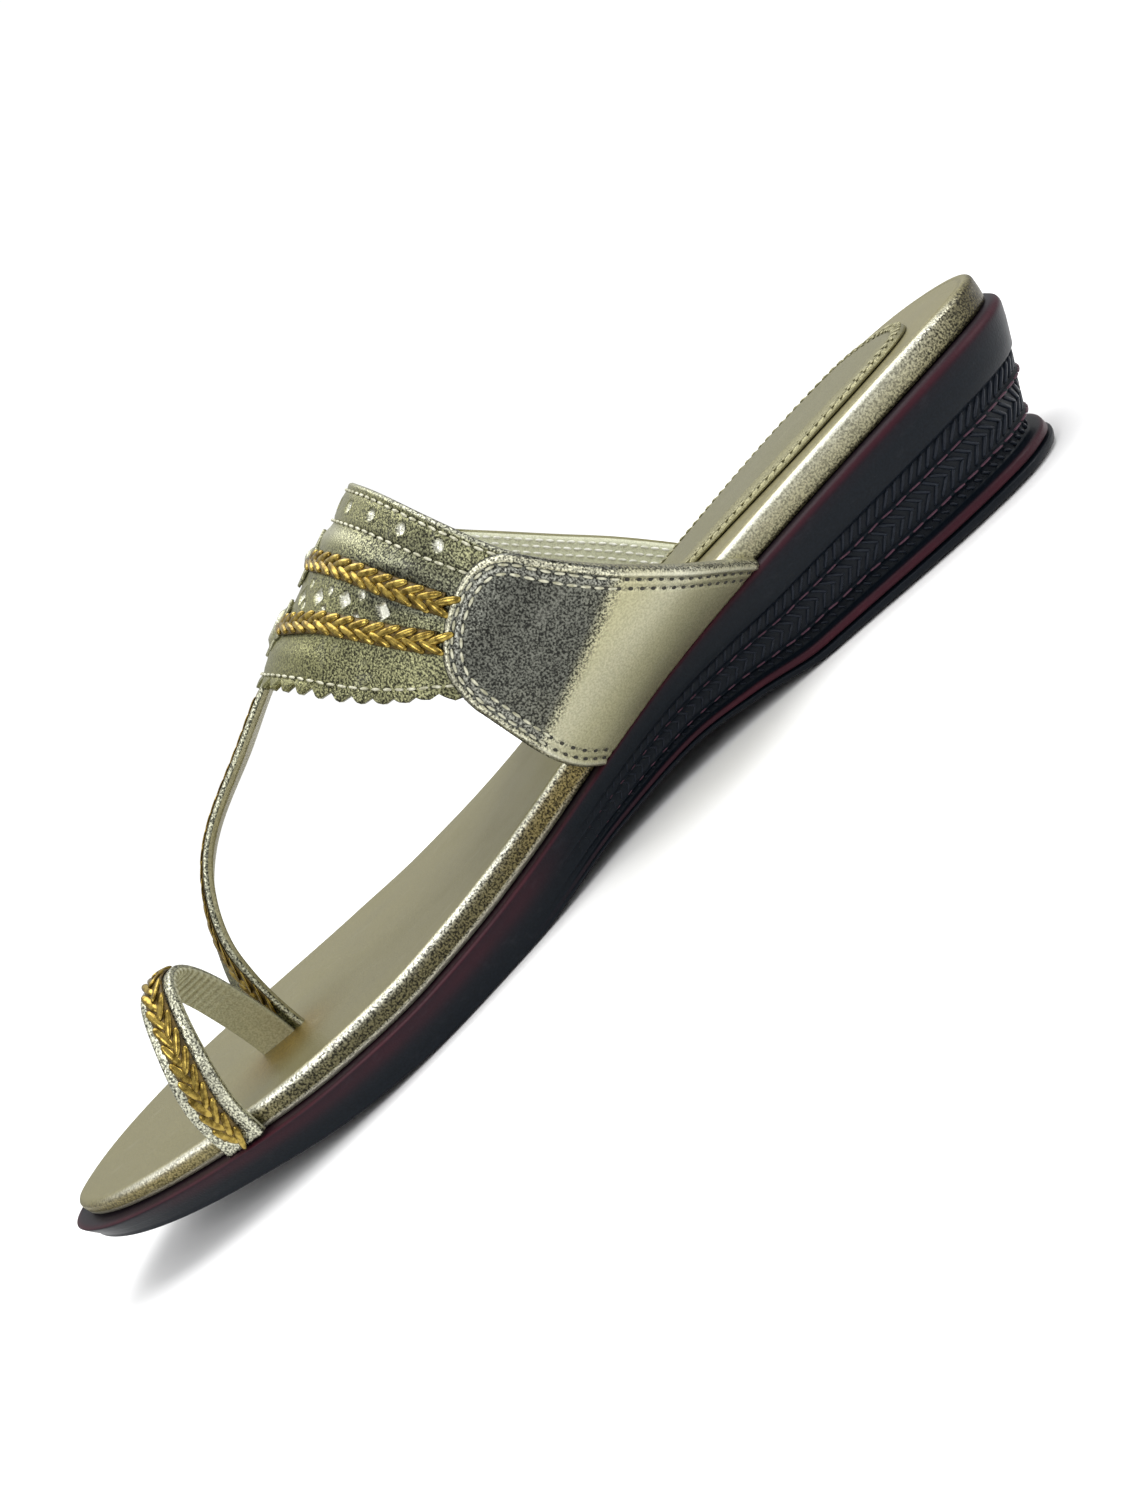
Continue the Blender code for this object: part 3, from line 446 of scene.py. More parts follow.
def smooth(low: float, high: float, at: Array) -> Array:
    """A soft step from 0 at low to 1 at high."""
    u = np.clip((np.asarray(at, float) - low) / (high - low), 0, 1)
    return u * u * (3 - 2 * u)


def bump(at: Array, centre: float, width: float) -> Array:
    """A soft rounded ridge, 1 high at its centre."""
    return np.exp(-(((np.asarray(at, float) - centre) / width) ** 2))


def half_turn(along: Array, start: float = 0.0) -> Array:
    """The angle round a side of an outline, which spaces stations closely at both its ends."""
    share = (np.asarray(along, float) - start) / (1 - start)
    return np.arccos(np.clip(1 - 2 * share, -1, 1))


def ring_quads(rings: int, size: int) -> Array:
    """Quads between closed rings of the same size, each joined to the next."""
    i = np.arange(size)
    ahead = (i + 1) % size
    low = (np.arange(rings - 1) * size)[:, None]
    return np.stack([low + i, low + ahead, low + size + ahead, low + size + i], axis=-1).reshape(-1, 4)


def grid_quads(columns: int, rows: int) -> Array:
    """Quads of an open grid of points, its rows running fastest."""
    i, j = np.meshgrid(np.arange(columns - 1), np.arange(rows - 1), indexing="ij")
    at = i * rows + j
    return np.stack([at, at + rows, at + rows + 1, at + 1], axis=-1).reshape(-1, 4)


def run_lengths(path: Array) -> Array:
    """The length run to each point of a path."""
    return np.concatenate([[0], np.cumsum(np.linalg.norm(np.diff(path, axis=0), axis=1))])


@dataclass
class Outline:
    """A closed outline seen from above, its stations along one side and back along the other."""

    along: Array
    points: Array
    count: int
    inward: Array

    @classmethod
    def of(cls, along: Array, medial: Array, lateral: Array, length: float) -> "Outline":
        """Builds the outline from its two sides.

        Args:
            along: Stations from the back end to the front end.
            medial: The medial side's X at each.
            lateral: The lateral side's X at each.
            length: The sole's length.

        Returns:
            The outline, with its inward direction at each point.
        """
        both = np.concatenate([along, along[-2:0:-1]])
        xs = np.concatenate([medial, lateral[-2:0:-1]])
        points = np.stack([xs, length * (0.5 - both)], axis=1)
        run = unit(np.roll(points, -1, axis=0) - np.roll(points, 1, axis=0))
        inward = np.stack([run[:, 1], -run[:, 0]], axis=1)
        if np.median(((points.mean(axis=0) - points) * inward).sum(axis=1)) < 0:
            inward = -inward
        return cls(both, points, len(along), inward)

    def inset(self, distance: Array) -> Array:
        """The outline moved inwards by one distance, or by one at each point."""
        return self.points + self.inward * np.reshape(distance, (-1, 1))

    def cross_grid(self, ring: Array, first: int, start: int, columns: int) -> tuple[Array, list]:
        """Fills a ring of this outline with a grid of points from side to side.

        Args:
            ring: The ring's points in plan.
            first: The index of the ring's first point.
            start: The index that the new points start at.
            columns: How many points lie between the two sides.

        Returns:
            The new points in plan, and the faces.
        """
        size = len(self.along)
        rows = range(1, self.count - 1)
        share = (np.arange(1, columns + 1) / (columns + 1))[:, None]
        made = [ring[i] + (ring[size - i] - ring[i]) * share for i in rows]

        def line(i: int) -> list[int]:
            """The indices of one row from side to side."""
            inner = start + (i - 1) * columns
            return [first + i, *range(inner, inner + columns), first + size - i]

        faces: list = []
        for i in range(1, self.count - 2):
            here, ahead = line(i), line(i + 1)
            faces += [(here[k], ahead[k], ahead[k + 1], here[k + 1]) for k in range(columns + 1)]
        here, ahead = line(1), line(self.count - 2)
        faces += [(first, here[k], here[k + 1]) for k in range(columns + 1)]
        tip = first + self.count - 1
        faces += [(tip, ahead[k + 1], ahead[k]) for k in range(columns + 1)]
        return np.concatenate(made), faces

    def closed(
        self, rings: Sequence[Array], last: tuple[int, Callable], first: tuple[int, Callable]
    ) -> tuple[Array, list, Array]:
        """Closes a stack of this outline's rings with a grid over its last ring and its first.

        Args:
            rings: The rings' points.
            last: The columns of the grid over the last ring, and the height at its points in plan.
            first: The same over the first ring.

        Returns:
            All points, all faces, and the points in plan over the last ring.
        """
        body = np.concatenate(rings)
        size = len(self.along)
        inner, caps = self.cross_grid(rings[-1][:, :2], len(body) - size, len(body), last[0])
        outer, lids = self.cross_grid(rings[0][:, :2], 0, len(body) + len(inner), first[0])
        faces = ring_quads(len(rings), size).tolist() + caps + [face[::-1] for face in lids]
        ends = [np.column_stack([inner, last[1](inner)]), np.column_stack([outer, first[1](outer)])]
        return np.concatenate([body, *ends]), faces, inner


@dataclass(frozen=True)
class SoleForm:
    """The outsole and insole as heights and edges, in the raw frame of the solids."""

    length: float = 0.250
    ball_width: float = 0.0905
    heel_height: float = 0.0345
    ball_height: float = 0.0135
    toe_spring: float = 0.0135
    arch_rise: float = 0.0043
    heel_undercut: float = 0.0086
    rim_round: float = 0.0012
    rib_depth: float = 0.0009
    lip_out: float = 0.0022
    insole_wall: float = 0.0056
    insole_inset: float = 0.0030
    heel_margin: float = 0.0019
    heel_reach: float = 0.12
    gap: float = 0.0003

    def y_at(self, along: Array) -> Array:
        """The Y of a share of the sole's length."""
        return self.length * (0.5 - np.asarray(along, float))

    def along_at(self, y: Array) -> Array:
        """The share of the sole's length at a Y."""
        return np.clip(0.5 - np.asarray(y, float) / self.length, 0, 1)

    def edge_x(self, along: Array, side: Side) -> Array:
        """The outsole's edge at a share of its length, on one side."""
        back = PLAN[0].along
        turns = half_turn(column(PLAN, "along"), back)
        values = column(PLAN, side.name.lower())
        return self.ball_width * natural_spline(turns, values, half_turn(along, back))

    def insole_x(self, along: Array, side: Side) -> Array:
        """The insole's edge along the two sides."""
        return self.edge_x(along, side) - side.value * self.insole_inset

    def margin(self, along: Array) -> Array:
        """How far the insole stands in from the outsole."""
        near_heel = np.clip(1 - np.asarray(along) / self.heel_reach, 0, 1)
        return self.insole_inset - self.heel_margin * near_heel**2

    def height(self, name: str, along: Array) -> Array:
        """One column of the heights, as a smooth share."""
        return level_curve(column(HEIGHTS, "along"), column(HEIGHTS, name), along)

    def underside(self, along: Array) -> Array:
        """Height of the outsole's underside above the floor."""
        return self.toe_spring * self.height("spring", along) + self.arch_rise * self.height("arch", along)

    def footbed(self, along: Array) -> Array:
        """Height of the insole's top above the floor."""
        at = column(HEIGHTS, "along")
        wedge = natural_spline(at, column(HEIGHTS, "wedge"), along)
        ball = natural_spline(at, column(HEIGHTS, "ball"), along)
        extra = self.heel_height - self.ball_height
        return extra * wedge + self.ball_height * ball + self.toe_spring * self.height("spring", along)

    def rubber_top(self, along: Array) -> Array:
        """Height of the outsole's top, under the insole and its gap."""
        return self.footbed(along) - self.insole_wall * self.height("board", along) - self.gap

    def outline(self, stations: int) -> Outline:
        """The outsole's outline with a number of stations along each side."""
        back = PLAN[0].along
        along = back + (1 - back) * (1 - np.cos(np.linspace(0, math.pi, stations))) / 2
        sides = (self.edge_x(along, Side.MEDIAL), self.edge_x(along, Side.LATERAL))
        return Outline.of(along, *sides, self.length)

    def side_inset(self, down: float, plan: Outline) -> Array:
        """How far the outsole's side stands in from its edge at one level.

        Args:
            down: Share of the side's height from the rim.
            plan: The outline that the side follows.

        Returns:
            The inset at each point of the outline.
        """
        rows = column(SIDE, "down")
        taper, rounding, rib, lip = (
            float(level_curve(rows, column(SIDE, name), np.array(down)))
            for name in ("taper", "rounding", "rib", "lip")
        )
        deep = level_curve(column(PLAN, "along"), column(PLAN, "undercut"), plan.along)
        undercut = self.heel_undercut * deep
        fade = level_curve(*zip(*RIB_FADE), plan.along)
        relief = fade * (self.rib_depth * rib - self.lip_out * lip)
        return undercut * taper + self.rim_round * rounding + relief

    def foot_point(self, along: Array, side: Side, wall: float) -> Array:
        """Where the outer face of the band meets the outsole, outside the insole's edge."""
        x = self.insole_x(along, side) + side.value * (self.gap + wall)
        return np.stack([x, self.y_at(along), self.rubber_top(along) + self.gap], axis=-1)


@dataclass
class BandForm:
    """The vamp and its side panels as one curved wall."""

    sole: SoleForm
    wall: float = 0.0018
    panel_step: float = 0.0009
    instep_height: float = 0.0817
    point_height: float = 0.0660
    pink_pitch: float = 0.0043
    pink_depth: float = 0.0023
    medial_feet: tuple[float, float] = (0.300, 0.484)
    lateral_feet: tuple[float, float] = (0.282, 0.475)
    crown_along: tuple[float, float] = (0.480, 0.637)
    crown_across: tuple[float, float] = (0.072, 0.080)
    nose_root: tuple[float, float] = (0.478, 0.365)
    nose_bulge: float = 0.112
    foot_blend: float = 0.26
    stations: Array = field(init=False)
    back: Array = field(init=False)
    front: Array = field(init=False)

    def __post_init__(self) -> None:
        """Works out the stations of the band's two edges."""
        half = column(BACK_MEDIAL, "across")
        self.stations = np.concatenate([half, 2 - half[-2::-1]])
        edges = []
        heights = (self.instep_height, self.point_height)
        tables = ((BACK_MEDIAL, BACK_LATERAL), (FRONT_MEDIAL, FRONT_LATERAL))
        for end, (medial_rows, lateral_rows) in enumerate(tables):
            x = self.crown_across[end] * self.sole.ball_width
            crown = np.array([x, float(self.sole.y_at(self.crown_along[end])), heights[end]])
            points = []
            sides = (
                (medial_rows, self.foot(Side.MEDIAL, end)),
                (lateral_rows[-2::-1], self.foot(Side.LATERAL, end)),
            )
            for rows, foot in sides:
                points += [foot + np.array([r.inward, r.forward, r.rise]) * (crown - foot) for r in rows]
            edges.append(np.array(points))
        self.back, self.front = edges

    def feet(self, side: Side) -> tuple[float, float]:
        """Where the band's foot starts and ends on one side."""
        return self.medial_feet if side is Side.MEDIAL else self.lateral_feet

    def foot(self, side: Side, end: int) -> Array:
        """One corner of the band."""
        return self.sole.foot_point(self.feet(side)[end], side, self.wall)

    def place(self, across: Array, down: Array) -> Array:
        """Points of the outer face, the foot drawn to the insole's edge.

        Args:
            across: From 0 at the medial foot to 2 at the lateral foot.
            down: From 0 at the back edge to 1 at the front edge.

        Returns:
            The points, in the raw frame.
        """
        across, down = np.broadcast_arrays(np.asarray(across, float), np.asarray(down, float))
        back = natural_spline(self.stations, self.back, across)
        front = natural_spline(self.stations, self.front, across)
        share = down[..., None]
        point = back + (front - back) * share
        for side, foot, end in ((Side.MEDIAL, across, 0), (Side.LATERAL, 2 - across, -1)):
            start, stop = self.feet(side)
            ruled = self.back[end] + (self.front[end] - self.back[end]) * share
            weight = np.clip(1 - foot / self.foot_blend, 0, 1)[..., None] ** 2
            rooted = self.sole.foot_point(start + (stop - start) * down, side, self.wall)
            point = point + weight * (rooted - ruled)
        return point

    def slopes(self, across: Array, down: Array) -> tuple[Array, Array]:
        """How the outer face moves per share across and per share down."""
        nudge = 1e-3
        over = self.place(across + nudge, down) - self.place(across - nudge, down)
        ahead = self.place(across, down + nudge) - self.place(across, down - nudge)
        return over / (2 * nudge), ahead / (2 * nudge)

    def frame(self, across: Array, down: Array) -> tuple[Array, Array, Array, Array]:
        """Points of the outer face with their outward normals and both directions along it."""
        across, down = np.broadcast_arrays(np.asarray(across, float), np.asarray(down, float))
        over, ahead = self.slopes(across, down)
        normal = unit(np.cross(over, ahead))
        return self.place(across, down), normal, unit(over), unit(ahead)

    def nose(self, down: Array) -> Array:
        """The rounded front end of a side panel, as a share of the way from foot to crown."""
        down = np.asarray(down, float)
        bulge = np.sqrt(np.clip(1 - (2 * down - 1) ** 2, 0, 1))
        start, end = self.nose_root
        return start + (end - start) * down + self.nose_bulge * bulge

    def panel_outline(self, samples: int) -> Array:
        """A side panel's free edge: back edge from the foot, round the nose, and front edge.

        Args:
            samples: How many points each of the three stretches has.

        Returns:
            Rows of across and down, on the medial side.
        """
        turn = np.linspace(0, math.pi, samples)
        down = (1 - np.cos(turn)) / 2
        nose = np.stack([self.nose(down), down], axis=1)
        up = np.linspace(0, 1, samples)
        top = np.stack([up * self.nose(0.0), 0 * up], axis=1)
        low = np.stack([(1 - up) * self.nose(1.0), 0 * up + 1], axis=1)
        return np.concatenate([top[:-1], nose[:-1], low])

    def moved(self, path: Array, distance: float) -> Array:
        """A path on the face moved sideways along it, to the left of its run seen from outside.

        Args:
            path: Rows of across and down.
            distance: How far, in metres.

        Returns:
            The rows of the moved path.
        """
        over, ahead = self.slopes(path[:, 0], path[:, 1])
        run = np.gradient(path, axis=0)
        tangent = unit(over * run[:, :1] + ahead * run[:, 1:])
        normal = unit(np.cross(over, ahead))
        wish = np.cross(normal, tangent) * distance
        gram = np.stack(
            [
                np.stack([(over * over).sum(1), (over * ahead).sum(1)], axis=1),
                np.stack([(over * ahead).sum(1), (ahead * ahead).sum(1)], axis=1),
            ],
            axis=1,
        )
        right = np.stack([(over * wish).sum(1), (ahead * wish).sum(1)], axis=1)
        return path + np.linalg.solve(gram, right[..., None])[..., 0]

    def speckle_end(self, down: Array) -> Array:
        """The share across a side panel at which its painted dark reflection, speckled, ends."""
        return 0.325 - 0.115 * down

    def drop(self, across: float) -> float:
        """The band's length from back to front at one share across."""
        return float(np.linalg.norm(self.place(across, 1.0) - self.place(across, 0.0)))

    def girth(self, down: float) -> float:
        """Length across the crown per share across, at one share down."""
        near = self.place(np.array([0.98, 1.02]), np.array([down, down]))
        return float(np.linalg.norm(near[1] - near[0])) / 0.04


@dataclass
class StrapForm:
    """A flat strap through its own stations, its face turned by a twist at each."""

    stations: Array
    twists: Array
    widths: Array
    wall: float
    lengthways: bool = False
    keys: Array = field(init=False)
    length: float = field(init=False)

    def __post_init__(self) -> None:
        """Measures the strap."""
        self.keys = run_lengths(self.stations)
        self.length = float(self.keys[-1])

    def frame(self, run: Array) -> tuple[Array, Array, Array]:
        """Points of the outer face at the given lengths, with normals and width directions."""
        run = np.asarray(run, float)
        nudge = self.length * 1e-3
        point = natural_spline(self.keys, self.stations, run)
        ahead = natural_spline(self.keys, self.stations, np.minimum(run + nudge, self.length))
        behind = natural_spline(self.keys, self.stations, np.maximum(run - nudge, 0))
        tangent = unit(ahead - behind)
        twist = level_curve(self.keys, np.radians(self.twists), run)
        if self.lengthways:
            near_foot = smooth(0.72, 1.0, run / self.length)
            guide = np.stack([-0.20 * near_foot, -1.0 + 0 * near_foot, 0.24 * near_foot], axis=-1)
        else:
            guide = np.stack([np.cos(twist), np.sin(twist), 0 * twist], axis=-1)
        side = unit(guide - tangent * (guide * tangent).sum(axis=-1, keepdims=True))
        normal = np.cross(side, tangent) if self.lengthways else np.cross(tangent, side)
        return point, unit(normal), side

    def width_at(self, run: Array) -> Array:
        """The strap's width at the given lengths."""
        return level_curve(self.keys, self.widths, run)


@dataclass(frozen=True)
class StrapMaker:
    """The toe strap's and the toe ring's sizes."""

    sole: SoleForm
    band: BandForm
    strap_width: float = 0.0090
    strap_wall: float = 0.0018
    ring_width: float = 0.0074
    ring_rise: float = 0.0257
    root_depth: float = 0.0030

    def strap(self) -> StrapForm:
        """The strap from under the vamp's point down to its root in the insole."""
        root = self.sole.footbed(TOE_STRAP[-1].along) - self.root_depth
        top = self.band.point_height - self.band.wall / 3
        stations = []
        for row in TOE_STRAP:
            y = float(self.sole.y_at(row.along))
            stations.append((row.across * self.sole.ball_width, y, float(root + (top - root) * row.height)))
        widths = np.full(len(TOE_STRAP), self.strap_width)
        return StrapForm(np.array(stations), column(TOE_STRAP, "twist"), widths, self.strap_wall)

    def ring(self) -> StrapForm:
        """The ring for the big toe, from the strap's root to the insole's medial edge."""
        start = TOE_STRAP[-1].across * self.sole.ball_width
        foot = TOE_RING[-1].along
        end = float(self.sole.insole_x(foot, Side.MEDIAL)) + self.sole.gap + self.strap_wall
        stations = []
        for i, row in enumerate(TOE_RING):
            floor = float(self.sole.footbed(row.along))
            height = floor + self.ring_rise * row.height
            if i == 0:
                height = floor - self.root_depth
            elif i == len(TOE_RING) - 1:
                height = float(self.sole.rubber_top(row.along)) + self.sole.gap
            stations.append((start + (end - start) * row.across, float(self.sole.y_at(row.along)), height))
        widths = self.ring_width * column(TOE_RING, "width")
        return StrapForm(np.array(stations), np.zeros(len(TOE_RING)), widths, self.strap_wall, True)


def linked(made: bpy.types.Object) -> bpy.types.Object:
    """An object, once it is in the scene."""
    bpy.context.scene.collection.objects.link(made)
    return made


def stand(made: bpy.types.Object, place: Sequence, right: Array, up: Array) -> bpy.types.Object:
    """Puts an object into the scene, turned.

    Args:
        made: The object.
        place: Where it stands.
        right: Its own X.
        up: Its own Y.

    Returns:
        The object.
    """
    matrix = np.eye(4)
    matrix[:3] = np.column_stack([right, up, np.cross(right, up), place])
    linked(made).matrix_world = Matrix(matrix.tolist())
    return made


@dataclass
class Bench:
    """Where finished meshes are put into the frame and handed over."""

    shift: Array
    handed: int = 0

    def dress(
        self, name: str, points: Array, faces: Sequence, finishes: Sequence, marks: dict[str, Array]
    ) -> bpy.types.Object:
        """Makes a smooth object in the frame, its faces outwards.

        Args:
            name: Its name.
            points: Its points in the raw frame.
            faces: Its faces, as point indices.
            finishes: Its materials, in the order of the faces' indices.
            marks: Values at each point that the finishes read.

        Returns:
            The object, at the origin.
        """
        mesh = bpy.data.meshes.new(name)
        places = (np.asarray(points) - self.shift).tolist()
        mesh.from_pydata(places, [], [tuple(map(int, face)) for face in faces])
        for mark, values in marks.items():
            layer = mesh.attributes.new(mark, "FLOAT", "POINT")
            layer.data.foreach_set("value", np.asarray(values, np.float32).ravel())
        mesh.validate()
        mesh.shade_smooth()
        for finish in finishes:
            mesh.materials.append(finish)
        mesh.calc_loop_triangles()
        corners = np.empty(len(mesh.vertices) * 3)
        mesh.vertices.foreach_get("co", corners)
        order = np.empty(len(mesh.loop_triangles) * 3, np.int32)
        mesh.loop_triangles.foreach_get("vertices", order)
        a, b, c = (corners.reshape(-1, 3)[order.reshape(-1, 3)[:, k]] for k in range(3))
        if (a * np.cross(b, c)).sum() < 0:
            mesh.flip_normals()
        return linked(bpy.data.objects.new(name, mesh))

    def hand_over(self, piece: bpy.types.Object, slot: str, *nodes: str) -> None:
        """Gives a piece its body and the solids that it stands for.

        Args:
            piece: The piece.
            slot: The record's material slot, not used.
            nodes: The solids' names.
        """
        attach(piece, "root")
        if nodes:
            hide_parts(*nodes)
        self.handed += 1
        solids = ", ".join(nodes) or "no solid"
        LOG.info("%s: %d faces, stands for %s", piece.name, len(piece.data.polygons), solids)


def wall_mesh(outer: Array, inner: Array) -> tuple[Array, Array]:
    """A closed wall between two grids of points of the same size.

    Args:
        outer: Grid of outer points, columns by rows.
        inner: Grid of inner points.

    Returns:
        The points and the quads.
    """
    columns, rows = outer.shape[:2]
    half = columns * rows
    face = grid_quads(columns, rows)
    i = np.arange(columns - 1) * rows
    j = np.arange(rows - 1)
    last = half - rows
    rims = [
        np.stack([i, i + half, i + rows + half, i + rows], axis=1),
        np.stack([i, i + rows, i + rows + half, i + half], axis=1) + rows - 1,
        np.stack([j, j + 1, j + 1 + half, j + half], axis=1),
        np.stack([j, j + half, j + 1 + half, j + 1], axis=1) + last,
    ]
    points = np.concatenate([outer.reshape(-1, 3), inner.reshape(-1, 3)])
    return points, np.concatenate([face, face[:, ::-1] + half, *rims])


def ring_body(rings: Sequence[Array]) -> list:
    """The faces of a stack of closed rings, with one face over each end."""
    size, count = len(rings[0]), len(rings)
    ends = [tuple(range(size))[::-1], tuple(range((count - 1) * size, count * size))]
    return ring_quads(count, size).tolist() + ends


class Graph:
    """A node tree under construction, with short calls for adding and joining nodes."""

    def __init__(self, tree: bpy.types.NodeTree) -> None:
        """Starts on a tree."""
        self.tree = tree

    @classmethod
    def group(cls, name: str, kind: str, inputs: dict[str, object], outputs: dict[str, str]) -> "Graph":
        """Starts a node group.

        Args:
            name: Its name.
            kind: The tree's type.
            inputs: Each input's default by name, or its socket type as text.
            outputs: Each output's socket type by name.

        Returns:
            The graph, its inputs in start.
        """
        made = cls(bpy.data.node_groups.new(name, kind))
        for title, value in inputs.items():
            label = value if isinstance(value, str) else "Int" if isinstance(value, int) else "Float"
            socket = made.tree.interface.new_socket(title, in_out="INPUT", socket_type=f"NodeSocket{label}")
            if not isinstance(value, str):
                socket.default_value = value
        for title, label in outputs.items():
            made.tree.interface.new_socket(title, in_out="OUTPUT", socket_type=f"NodeSocket{label}")
        made.start = made.add("NodeGroupInput").outputs
        return made

    def fill(self, node: bpy.types.Node, inputs: dict) -> None:
        """Sets a node's inputs, by name or number, to values or sockets."""
        for name, value in inputs.items():
            if isinstance(value, bpy.types.NodeSocket):
                self.tree.links.new(value, node.inputs[name])
            else:
                node.inputs[name].default_value = value

    def add(self, kind: str, inputs: Optional[dict] = None, **settings: object) -> bpy.types.Node:
        """Adds a node.

        Args:
            kind: The node's type.
            inputs: Values or sockets for its inputs, by name or by number.
            settings: The node's own properties.

        Returns:
            The node.
        """
        node = self.tree.nodes.new(kind)
        for name, value in settings.items():
            setattr(node, name, value)
        self.fill(node, inputs or {})
        return node

    def out(self, kind: str, inputs: Optional[dict] = None, **settings: object) -> bpy.types.NodeSocket:
        """The first output of a new node."""
        return self.add(kind, inputs, **settings).outputs[0]

    def math(self, operation: str, a: object, b: object = 0.0, clamp: bool = False) -> bpy.types.NodeSocket:
        """The result of one sum on values or sockets."""
        return self.out("ShaderNodeMath", {0: a, 1: b}, operation=operation, use_clamp=clamp)

    def around(self, value: object, size: float, middle: float) -> bpy.types.NodeSocket:
        """A share made larger or smaller and moved."""
        return self.math("ADD", self.math("MULTIPLY", value, size), middle)

    def vector(self, operation: str, a: object, b: object) -> bpy.types.NodeSocket:
        """The result of one sum on vectors."""
        return self.out("ShaderNodeVectorMath", {0: a, 1: b}, operation=operation)

    def scaled(self, a: object, by: object) -> bpy.types.NodeSocket:
        """A vector made longer or shorter."""
        return self.out("ShaderNodeVectorMath", {0: a, "Scale": by}, operation="SCALE")

    def blend(self, share: object, a: object, b: object) -> bpy.types.NodeSocket:
        """A colour between two, each a socket or three numbers."""
        inputs = {0: share, 6: a if hasattr(a, "name") else (*a, 1), 7: b if hasattr(b, "name") else (*b, 1)}
        return self.add("ShaderNodeMix", inputs, data_type="RGBA").outputs[2]

    def mark(self, name: str) -> bpy.types.NodeSocket:
        """A mark of the piece's points."""
        return self.add("ShaderNodeAttribute", {}, attribute_name=name).outputs["Fac"]

    def place(self) -> bpy.types.NodeSocket:
        """Where a point of the surface is on its object."""
        return self.add("ShaderNodeTexCoord").outputs["Object"]


class Effects:
    """The two shader groups that the finishes share, each built once."""

    def __init__(self) -> None:
        """Builds them."""
        self.grain = self.make_grain()
        self.handling = self.make_handling()

    @staticmethod
    def make_grain() -> bpy.types.NodeTree:
        """Pressed leather grain.

        Returns:
            The group: a fine pebble as height, and a speckle mask of the same cells.
        """
        outputs = {"Height": "Float", "Speckle": "Float"}
        g = Graph.group("leather grain", "ShaderNodeTree", {"Scale": 1200.0, "Contrast": 4.0}, outputs)
        cell = {"Vector": g.place(), "Scale": g.start["Scale"]}
        fine = g.add("ShaderNodeTexNoise", cell | {"Detail": 3.0}).outputs["Fac"]
        cells = g.add("ShaderNodeTexVoronoi", cell).outputs["Distance"]
        height = g.math("ADD", fine, g.math("MULTIPLY", cells, 0.5))
        centred = g.math("SUBTRACT", fine, 0.5)
        speckle = g.math("ADD", g.math("MULTIPLY", centred, g.start["Contrast"]), 0.5, clamp=True)
        g.add("NodeGroupOutput", {"Height": height, "Speckle": speckle})
        return g.tree

    @staticmethod
    def make_handling() -> bpy.types.NodeTree:
        """Slow soft patches, as on handled foil, and fine scuffs.

        Returns:
            The group, with one mask for each.
        """
        g = Graph.group("handling", "ShaderNodeTree", {"Scale": 60.0}, {"Patch": "Float", "Scuff": "Float"})
        place = g.place()
        slow = g.add("ShaderNodeTexNoise", {"Vector": place, "Scale": g.start["Scale"], "Detail": 4.0})
        drawn = {"Vector": place, "Scale": (1.0, 0.45, 1.0), "Rotation": (0.0, 0.0, 0.7)}
        long = g.out("ShaderNodeMapping", drawn)
        finer = g.math("MULTIPLY", g.start["Scale"], 6.0)
        thin = g.add("ShaderNodeTexNoise", {"Vector": long, "Scale": finer, "Detail": 6.0}).outputs["Fac"]
        scuff = g.out("ShaderNodeMapRange", {"Value": thin, "From Min": 0.60, "From Max": 0.72})
        g.add("NodeGroupOutput", {"Patch": slow.outputs["Fac"], "Scuff": scuff})
        return g.tree


Colour = tuple[float, float, float]
HIGHLIGHT = (0.74, 0.74, 0.64)


@dataclass(frozen=True)
class Finish:
    """A finish: its name and its two colours."""

    name: str
    light: Colour
    dark: Colour

    def paint(self, g: Graph, effects: Effects) -> tuple[dict, object, float, float]:
        """Works out what is its own, in a subclass."""
        raise NotImplementedError

    def build(self, effects: Effects) -> bpy.types.Material:
        """Builds the material.

        Args:
            effects: The shared groups.

        Returns:
            The material.
        """
        made = bpy.data.materials.new(self.name)
        made.use_nodes = True
        g = Graph(made.node_tree)
        inputs, height, strength, distance = self.paint(g, effects)
        normal = g.out("ShaderNodeBump", {"Height": height, "Strength": strength, "Distance": distance})
        g.fill(made.node_tree.nodes["Principled BSDF"], inputs | {"Normal": normal})
        return made


